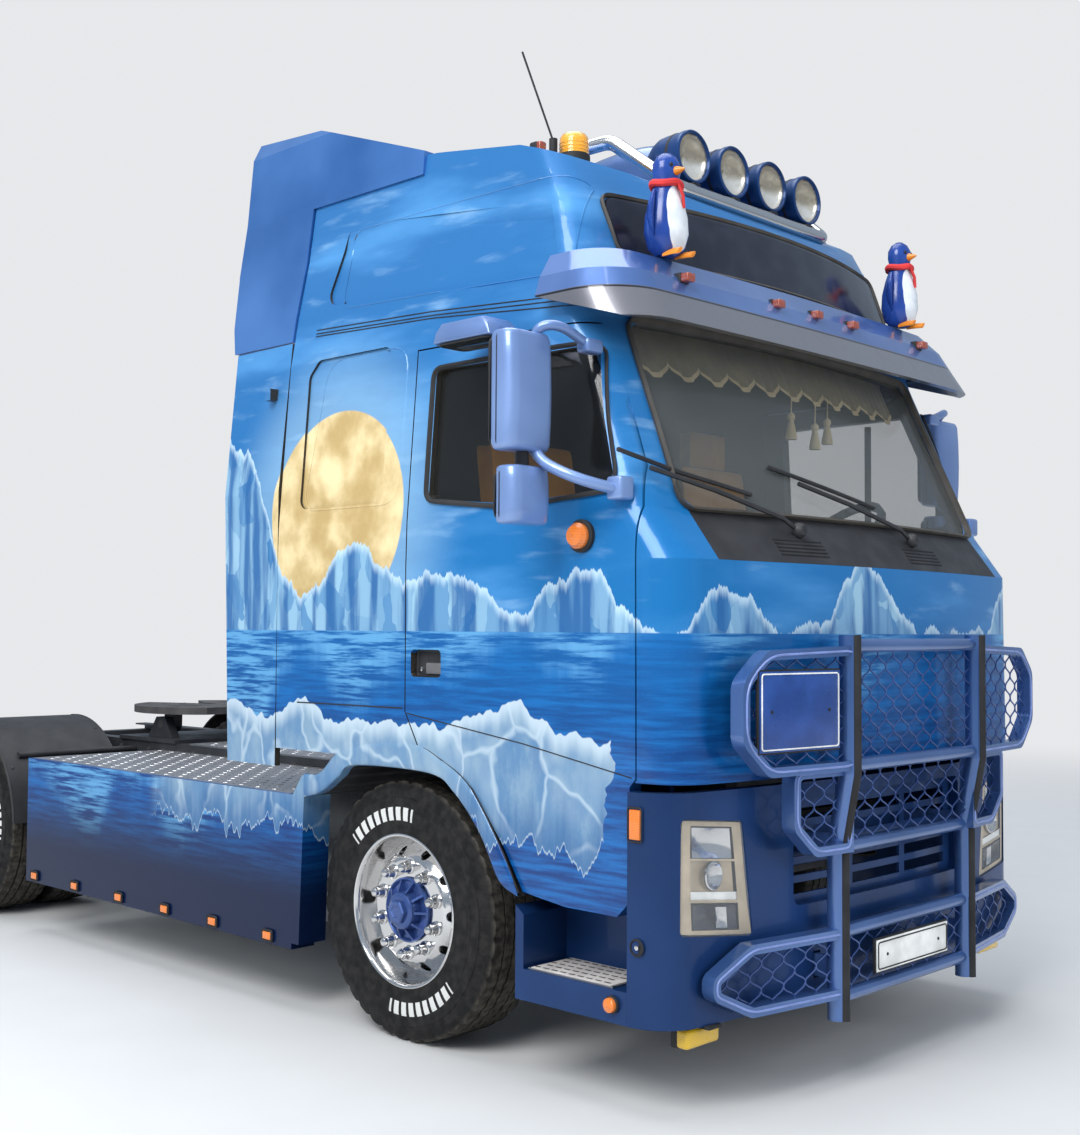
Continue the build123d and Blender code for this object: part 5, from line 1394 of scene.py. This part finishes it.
print("deck bars", bars)

# Tail lamps: a dark housing with amber, red and clear lenses
tailLampPlan = {
    "housing": (0.68, 1.12, 0.67, 0.83),
    # X from and to, Z from and to, look
    "lenses": ((1.008, 1.112, 0.68, 0.82, 1), (0.888, 1.002, 0.68, 0.82, 2), (0.79, 0.882, 0.753, 0.82, 2),
               (0.79, 0.882, 0.68, 0.747, 3), (0.688, 0.784, 0.68, 0.82, 2)),
}
backY = max(corner[1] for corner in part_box("tail_lamps")) - axleY
bm = bmesh.new()
for side in (-1, 1):
    x0, x1, z0, z1 = tailLampPlan["housing"]
    block(bm, side * (x0 + x1) / 2, (x1 - x0) / 2, (backY - 0.02, z0), (backY - 0.009, z1))
    for x0, x1, z0, z1, look in tailLampPlan["lenses"]:
        block(bm, side * (x0 + x1) / 2, (x1 - x0) / 2, (backY - 0.013, z0), (backY - 0.001, z1),
              0.005, look, 3)
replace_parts(addPiece("tail_lamp_lenses", bm, "truck", (rubber, amberLens, redLens, plateWhite)), "tail_lamps")

# Frame bolts, fifth-wheel bolts and rolled edges on the mudguards; profiles are height and radius
boltPlan = {
    "count": 30, "first": -0.6, "pitch": 0.155, "heights": (0.722, 0.905), "frameX": 0.52,
    "washer": ((0.0, 0.014), (0.003, 0.014), (0.003, 0.01)),
    "nut": ((0.0, 0.0105), (0.011, 0.01), (0.012, 0.001)),
    "socket": ((-0.001, 0.016), (0.0008, 0.0155), (0.0008, 0.008), (-0.004, 0.007), (-0.004, 0.001)),
    "rivet": ((-0.001, 0.011), (0.003, 0.01), (0.0045, 0.004), (0.0045, 0.001)),
}
plan = boltPlan
bm = bmesh.new()
for side in (-1, 1):
    for k in range(plan["count"]):
        y = axleY + plan["first"] + k * plan["pitch"]
        for z in plan["heights"]:
            spot = hit(("chassis_frame",), (side * 1.5, y, z), (-side, 0, 0))
            if spot and abs(spot[0].x) <= plan["frameX"]:
                spinAll(bm, (spot[0].x, y, z), "X", ((plan["washer"], 12, 0), (plan["nut"], 6, 0)), side)
addPiece("frame_bolts", bm, "truck", castIron, 0.5)

# Bolts on a circle and two grease grooves, both only where the plate's top is under them
fifthPlan = {"y": axleY + 3.13, "top": 1.14, "bolts": 10, "boltCircle": 0.385, "firstTurn": -60,
             "turn": 33.3, "grooves": (0.2, 0.29), "grooveStart": 220, "grooveTurn": -260, "grooveSteps": 40}


def onFifth(radius, degrees):
    t = math.radians(degrees)
    spot = fromAbove(("fifth_wheel_plate",), radius * math.cos(t), fifthPlan["y"] + radius * math.sin(t))
    return spot[0] if spot and spot[0].z > fifthPlan["top"] else None


plan = fifthPlan
bm = bmesh.new()
for k in range(plan["bolts"]):
    spot = onFifth(plan["boltCircle"], plan["firstTurn"] + plan["turn"] * k)
    if spot:
        spin(bm, boltPlan["socket"], spot, "Z", 20)
for radius in plan["grooves"]:
    run = []
    for k in range(plan["grooveSteps"] + 2):
        spot = onFifth(radius, plan["grooveStart"] + plan["grooveTurn"] * k / plan["grooveSteps"])
        if spot and k <= plan["grooveSteps"]:
            run.append(spot + Vector((0, 0, -0.0012)))
            continue
        if len(run) > 3:
            tube(bm, run, 0.0045, 6, look=1, flat=0.6)
        run = []
addPiece("fifth_wheel_trim", bm, "fifth_wheel", (castIron, greaseLook), 0.5)

guardPlan = {"edgeXs": (-1.237, -0.567), "edgeRadius": 0.5715, "rivetXs": (-1.2, -0.6),
             "rivetRadius": 0.575, "rivetAngles": (35, 62, 90, 118, 145)}


def onGuard(x, radius, degrees):
    t = math.radians(degrees)
    return Vector((x, rearAxleY + radius * math.cos(t), hubZ + radius * math.sin(t)))


bm = bmesh.new()
for side in (-1, 1):
    for x in guardPlan["edgeXs"]:
        tube(bm, [onGuard(side * x, guardPlan["edgeRadius"], 5 + 170 * i / 48) for i in range(49)], 0.0065, 8)
    for angle in guardPlan["rivetAngles"]:
        for x in guardPlan["rivetXs"]:
            place = onGuard(side * x, guardPlan["rivetRadius"], angle)
            verts = [v for ring in spin(bm, boltPlan["rivet"], place, "Z", 10) for v in ring]
            turned(bm, verts, place, math.radians(angle - 90), "X")
addPiece("mudguard_edges", bm, "truck", darkPlastic)

# Pressed panels on the cab's back wall
bm = bmesh.new()
for x0, x1 in ((-1.0, -0.36), (-0.3, 0.3), (0.36, 1.0)):
    for z0, z1 in ((1.3, 2.05), (2.15, 2.95)):
        loop = dense(roundedLoop(rectangle(1, 0, (x0, z0), (x1, z1)), 0.07), 0.08)
        spots = [hit(("cab_shell",), (p.x, 2.5, p.z), (0, -1, 0)) for p in loop]
        if all(spots):
            tube(bm, [spot[0] for spot in spots], 0.006, 6, True)
addPiece("back_panels", bm, "truck", muralPaint)

# Corner indicators, the towing eyes' covers and the lamps by the bumper's corners and under it
cornerPlan = {
    "frame": ((axleY - 1.262, 0.909), (axleY - 1.203, 1.022)),
    "eye": (-1.236, axleY - 1.243, 0.564), "lamp": (-1.238, axleY - 1.14, 0.362),
    # distance outwards, radius
    "cover": ((0.0, 0.03), (-0.003, 0.029), (-0.004, 0.025), (0.004, 0.022), (0.006, 0.001)),
    "key": ((0.004, 0.009), (-0.003, 0.008), (-0.004, 0.001)),
    "lampRing": ((0.0, 0.03), (-0.008, 0.03), (-0.012, 0.026), (-0.012, 0.022)),
    "lampDome": ((-0.008, 0.026), (-0.022, 0.024), (-0.028, 0.015), (-0.03, 0.001)),
}
plan = cornerPlan
bm = bmesh.new()
block(bm, -1.23325, 0.00725, (-1.256, 0.915), (-1.208, 1.016), 0.006, 0, 3)
tube(bm, roundedLoop(rectangle(0, -1.2375, *plan["frame"]), 0.01), 0.003, 6, True, 1)
spinAll(bm, plan["eye"], "X", ((plan["cover"], 28, 1), (plan["key"], 16, 2)))
spinAll(bm, plan["lamp"], "X", ((plan["lampRing"], 28, 1), (plan["lampDome"], 28, 0)))
bothSides("corner_lamps", bm, bothTruck, (amberLens, rubber, polished))
bm = bmesh.new()
block(bm, -1.015, 0.09, (-1.352, 0.222), (-1.3, 0.288), 0.014, 0, 3)
block(bm, -1.015, 0.083, (-1.322, 0.218), (-1.27, 0.291), 0.01, 1, 2)
block(bm, -1.015, 0.035, (-1.4, 0.288), (-1.29, 0.301), 0.003, 1)
bothSides("low_lamps", bm, bothTruck, (yellowLens, rubber))
bm = bmesh.new()
for y in [axleY + y for y in smallLampPlan["sideYs"]]:
    loop = roundedLoop(rectangle(0, -1.238, (y - 0.034, 0.276), (y + 0.034, 0.32)), 0.008, 3)
    tube(bm, loop, 0.006, 5, True)
bothSides("skirt_lamp_frames", bm, bothTruck, rubber)
print("side trim done")

# Blank plates on the bull bar, each with a raised border, bolts and a holder
platePlan = {
    # name: centre, width, height, degrees turned, looks of the plate, its border and its holder
    "front_plate": ((0.0, -3.066, 0.432), 0.52, 0.114, 0, (plateWhite, rubber, rubber)),
    "wing_plate": ((-0.77, -3.082, 1.34), 0.42, 0.27, -5.7, (plateBlue, plateWhite, rubber)),
}
for name, (centre, width, height, angle, looks) in platePlan.items():
    bm = bmesh.new()
    low = Vector((-width / 2, -0.003, -height / 2))
    softBox(bm, low, -low, 0.0022)
    border = rectangle(1, -0.0035, (low.x + 0.009, low.z + 0.009), (-low.x - 0.009, -low.z - 0.009))
    tube(bm, roundedLoop(border, 0.012), 0.0028, 5, True, 1)
    softBox(bm, low + Vector((-0.006, 0.004, -0.006)), -low + Vector((0.006, 0.01, 0.006)), 0.003, 2)
    for x in (-width * 0.36, width * 0.36):
        spin(bm, ((-0.003, 0.0062), (-0.0055, 0.0055), (-0.007, 0.0008)), (x, 0, 0), "Y", 10, 2)
    turned(bm, bm.verts, (0, 0, 0), math.radians(angle), "Z")
    bmesh.ops.translate(bm, verts=bm.verts, vec=centre)
    addPiece(name, bm, "truck", looks)
print("plates done")

# Plain standing birds on the visor: body, wings, head, beak and feet
birdPlan = {
    "xs": (-0.833, 0.833), "y": -2.545, "z": 2.972, "depth": 0.86,
    # height, radius
    "body": ((0.0, 0.001), (0.004, 0.045), (0.03, 0.074), (0.085, 0.09), (0.15, 0.086), (0.21, 0.07),
             (0.255, 0.052), (0.285, 0.05), (0.315, 0.057), (0.345, 0.056), (0.372, 0.04), (0.386, 0.018),
             (0.389, 0.001)),
    # how wide the wing is at each of its points
    "wing": (0.55, 0.9, 1.0, 0.9, 0.6, 0.15),
    "eye": ((0.0, 0.0085), (-0.004, 0.007), (-0.006, 0.001)),
    "foot": ((0.034, -0.02, 0.008), (0.038, -0.062, 0.008), (0.04, -0.095, 0.006)),
    "beak": ((0.0, 0.018), (-0.016, 0.014), (-0.034, 0.007), (-0.045, 0.001)),
    # middle height, half width and half height of the pale front
    "front": (0.135, 0.06, 0.125),
}


def birdCoat(name, base):
    # Blue with a pale oval front
    g = Graph(name + "_coat")
    middle, halfWidth, halfHeight = birdPlan["front"]
    across = g.math("POWER", g.math("DIVIDE", g.less(g.x, base.x), halfWidth), 2)
    upward = g.math("POWER", g.math("DIVIDE", g.less(g.z, base.z + middle), halfHeight), 2)
    oval = g.step(g.add(across, upward), 1.04, 0.96)
    front = g.step(g.y, base.y - 0.01, base.y - 0.014)
    blue = g.over((0.01, 0.04, 0.22), (0.018, 0.062, 0.3), g.noise(9, 4), 0.35, 0.7)
    pale = g.over((0.62, 0.66, 0.7), (0.74, 0.77, 0.8), g.noise(20, 4), 0.35, 0.7)
    g.bump(g.noise(90, 3), 0.05, 0.0004)
    return g.finish(g.mix(g.times(oval, front), blue, pale),
                    Roughness=g.step(g.noise(14, 3), 0.2, 0.8, 0.16, 0.3))


def bird(name, x):
    plan = birdPlan
    bm = bmesh.new()
    base = Vector((x, plan["y"], plan["z"]))

    def at(dx, dy, dz):
        return base + Vector((dx, dy, dz))

    for ring in spin(bm, plan["body"], base, "Z", 24):
        for v in ring:
            v.co.y = base.y + (v.co.y - base.y) * plan["depth"]
    for side in (-1, 1):
        wing = [at(side * (0.06 + 0.034 * math.sin(t * 2.4)), 0.01 - 0.02 * t, 0.235 - 0.17 * t)
                for t in (0, 0.2, 0.4, 0.6, 0.8, 1.0)]
        for width, ring in zip(plan["wing"], tube(bm, wing, 0.034, 10, flat=0.4)):
            middle = sum((v.co for v in ring), Vector()) / len(ring)
            for v in ring:
                v.co = middle + (v.co - middle) * width
        foot = [at(side * dx, dy, dz) for dx, dy, dz in plan["foot"]]
        tube(bm, foot, 0.018, 8, look=2, flat=0.4)
        spin(bm, plan["eye"], at(side * 0.026, -0.043, 0.333), "Y", 10, 1)
    spin(bm, plan["beak"], at(0, -0.042, 0.315), "Y", 12, 2)
    scarf = [at(0.056 * math.cos(t), 0.05 * math.sin(t), 0.268 + 0.004 * math.sin(3 * t))
             for t in [2 * math.pi * i / 20 for i in range(20)]]
    tube(bm, scarf, 0.014, 8, True, 3)
    knot = scarf[15]
    tube(bm, [knot, knot + Vector((0.012, -0.018, -0.05)), knot + Vector((0.02, -0.016, -0.095))], 0.013, 8,
         look=3, flat=0.45)
    return addPiece(name, bm, "truck", (birdCoat(name, base), rubber, beakLook, scarfLook))


for k, x in enumerate(birdPlan["xs"]):
    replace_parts(bird("ornament_" + str(k), x), "ornaments")
print("birds done")

# Pelmet: a scalloped cloth behind the screen's upper edge, with a fringe and three tassels
pelmetPlan = {
    "half": 0.9, "top": 2.745, "drop": 0.15, "scallops": 11, "depth": 0.055, "columns": 132, "rows": 10,
    "back": 0.078, "fold": 0.006,
    # X and length of each tassel; its profile in height and radius
    "tassels": ((0.02, 0.24), (0.2, 0.3), (0.3, 0.22)),
    "tassel": ((0.0, 0.004), (-0.012, 0.016), (-0.026, 0.017), (-0.034, 0.011), (-0.1, 0.024),
               (-0.112, 0.024), (-0.113, 0.002)),
}
plan = pelmetPlan
columns, rows = plan["columns"], plan["rows"]


def behindScreen(x, z, back):
    return fromFront(("windscreen", "cab_shell"), x, z)[0] + Vector((0, back, 0))


bm = bmesh.new()
grid = []
for i in range(columns + 1):
    x = plan["half"] * (2 * i / columns - 1)
    phase = (i / columns * plan["scallops"]) % 1
    drop = plan["drop"] + plan["depth"] * math.sin(math.pi * phase)
    column = []
    for j in range(rows + 1):
        fold = plan["fold"] * math.sin(2 * math.pi * phase * 3) * j / rows
        column.append(bm.verts.new(behindScreen(x, plan["top"] - drop * j / rows, plan["back"] + fold)))
    grid.append(column)
for face in rowFaces(bm, grid)[rows - 1::rows]:
    face.material_index = 1
pelmetCloth = addPiece("pelmet_cloth", bm, "truck", (velvet, fringe))
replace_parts(pelmetCloth, "pelmet")
tassels = bmesh.new()
for x, drop in plan["tassels"]:
    top = behindScreen(x, 2.6, 0.085)
    head = top + Vector((0, 0.004, -drop * 0.4))
    tube(tassels, [top, head], 0.003, 6)
    spin(tassels, plan["tassel"], head, "Z", 16)
tasselPiece = addPiece("pelmet_tassels", tassels, "truck", fringe)


# Seats and bunk: crowned pads with sewn channels over a plain base
def pad(name, x, half, low, high, crown, channels, look, lean=0.0, pivot=None):
    # A closed cushion whose sides pull in; low and high give Y from the front axle and Z
    low, high = Vector((x - half, axleY + low[0], low[1])), Vector((x + half, axleY + high[0], high[1]))
    bm = bmesh.new()
    bmesh.ops.create_cube(bm, size=2)
    bmesh.ops.subdivide_edges(bm, edges=bm.edges, cuts=11, use_grid_fill=True)
    centre, size = (low + high) / 2, (high - low) / 2
    thin = min(range(3), key=lambda i: size[i])
    wide = [i for i in range(3) if i != thin]
    for v in bm.verts:
        p = v.co.copy()
        swell = (1 - abs(p[wide[0]]) ** 4) * (1 - abs(p[wide[1]]) ** 4)
        v.co[thin] = p[thin] * (1 - crown + crown * swell)
        pull = 0.05 * (1 - p[thin] ** 2)
        for i in wide:
            v.co[i] = p[i] * (1 - pull * (abs(p[i]) > 0.97))
        if channels and abs(p[thin]) > 0.9:
            wave = abs(math.sin(math.pi * channels * (p.x + 1) / 2))
            v.co[thin] *= 1 - 0.1 * (1 - wave) ** 3
        v.co = Vector((v.co[i] * size[i] for i in range(3))) + centre
    if lean:
        turned(bm, bm.verts, (x, axleY + pivot[0], pivot[1]), lean, "X")
    piece = addPiece(name, bm, "truck", look, 0)
    piece.data.shade_smooth()
    smooth = piece.modifiers.new("smooth", "SUBSURF")
    smooth.levels = smooth.render_levels = 1
    return piece


seatPlan = {
    # half width, low and high corner in Y and Z, crown, channels, look, then lean and its pivot
    "seat_cushion_": (0.25, (-0.68, 1.7), (-0.16, 1.835), 0.25, 5, seatCloth),
    "seat_back_": (0.245, (-0.245, 1.8), (-0.115, 2.38), 0.25, 5, seatCloth, -0.13, (-0.18, 1.8)),
    "seat_head_": (0.14, (-0.135, 2.385), (-0.045, 2.555), 0.3, 0, seatCloth),
}
for side, tag in sides:
    x = side * 0.62
    for name, sizes in seatPlan.items():
        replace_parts(pad(name + tag, x, *sizes), "seats")
    bm = bmesh.new()
    block(bm, x, 0.22, (-0.6, 1.382), (-0.2, 1.56), 0.03, 0, 3)
    block(bm, x, 0.24, (-0.64, 1.56), (-0.18, 1.7), 0.035, 0, 3)
    addPiece("seat_base_" + tag, bm, "truck", greyPlastic)
mattress = pad("bunk_mattress", 0, 1.07, (0.065, 1.82), (0.685, 1.98), 0.2, 9, bunkCloth)
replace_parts(mattress, "bunk")
bm = bmesh.new()
block(bm, 0, 1.07, (0.07, 1.382), (0.68, 1.82), 0.02)
addPiece("bunk_base", bm, "truck", greyPlastic)
print("seats done")
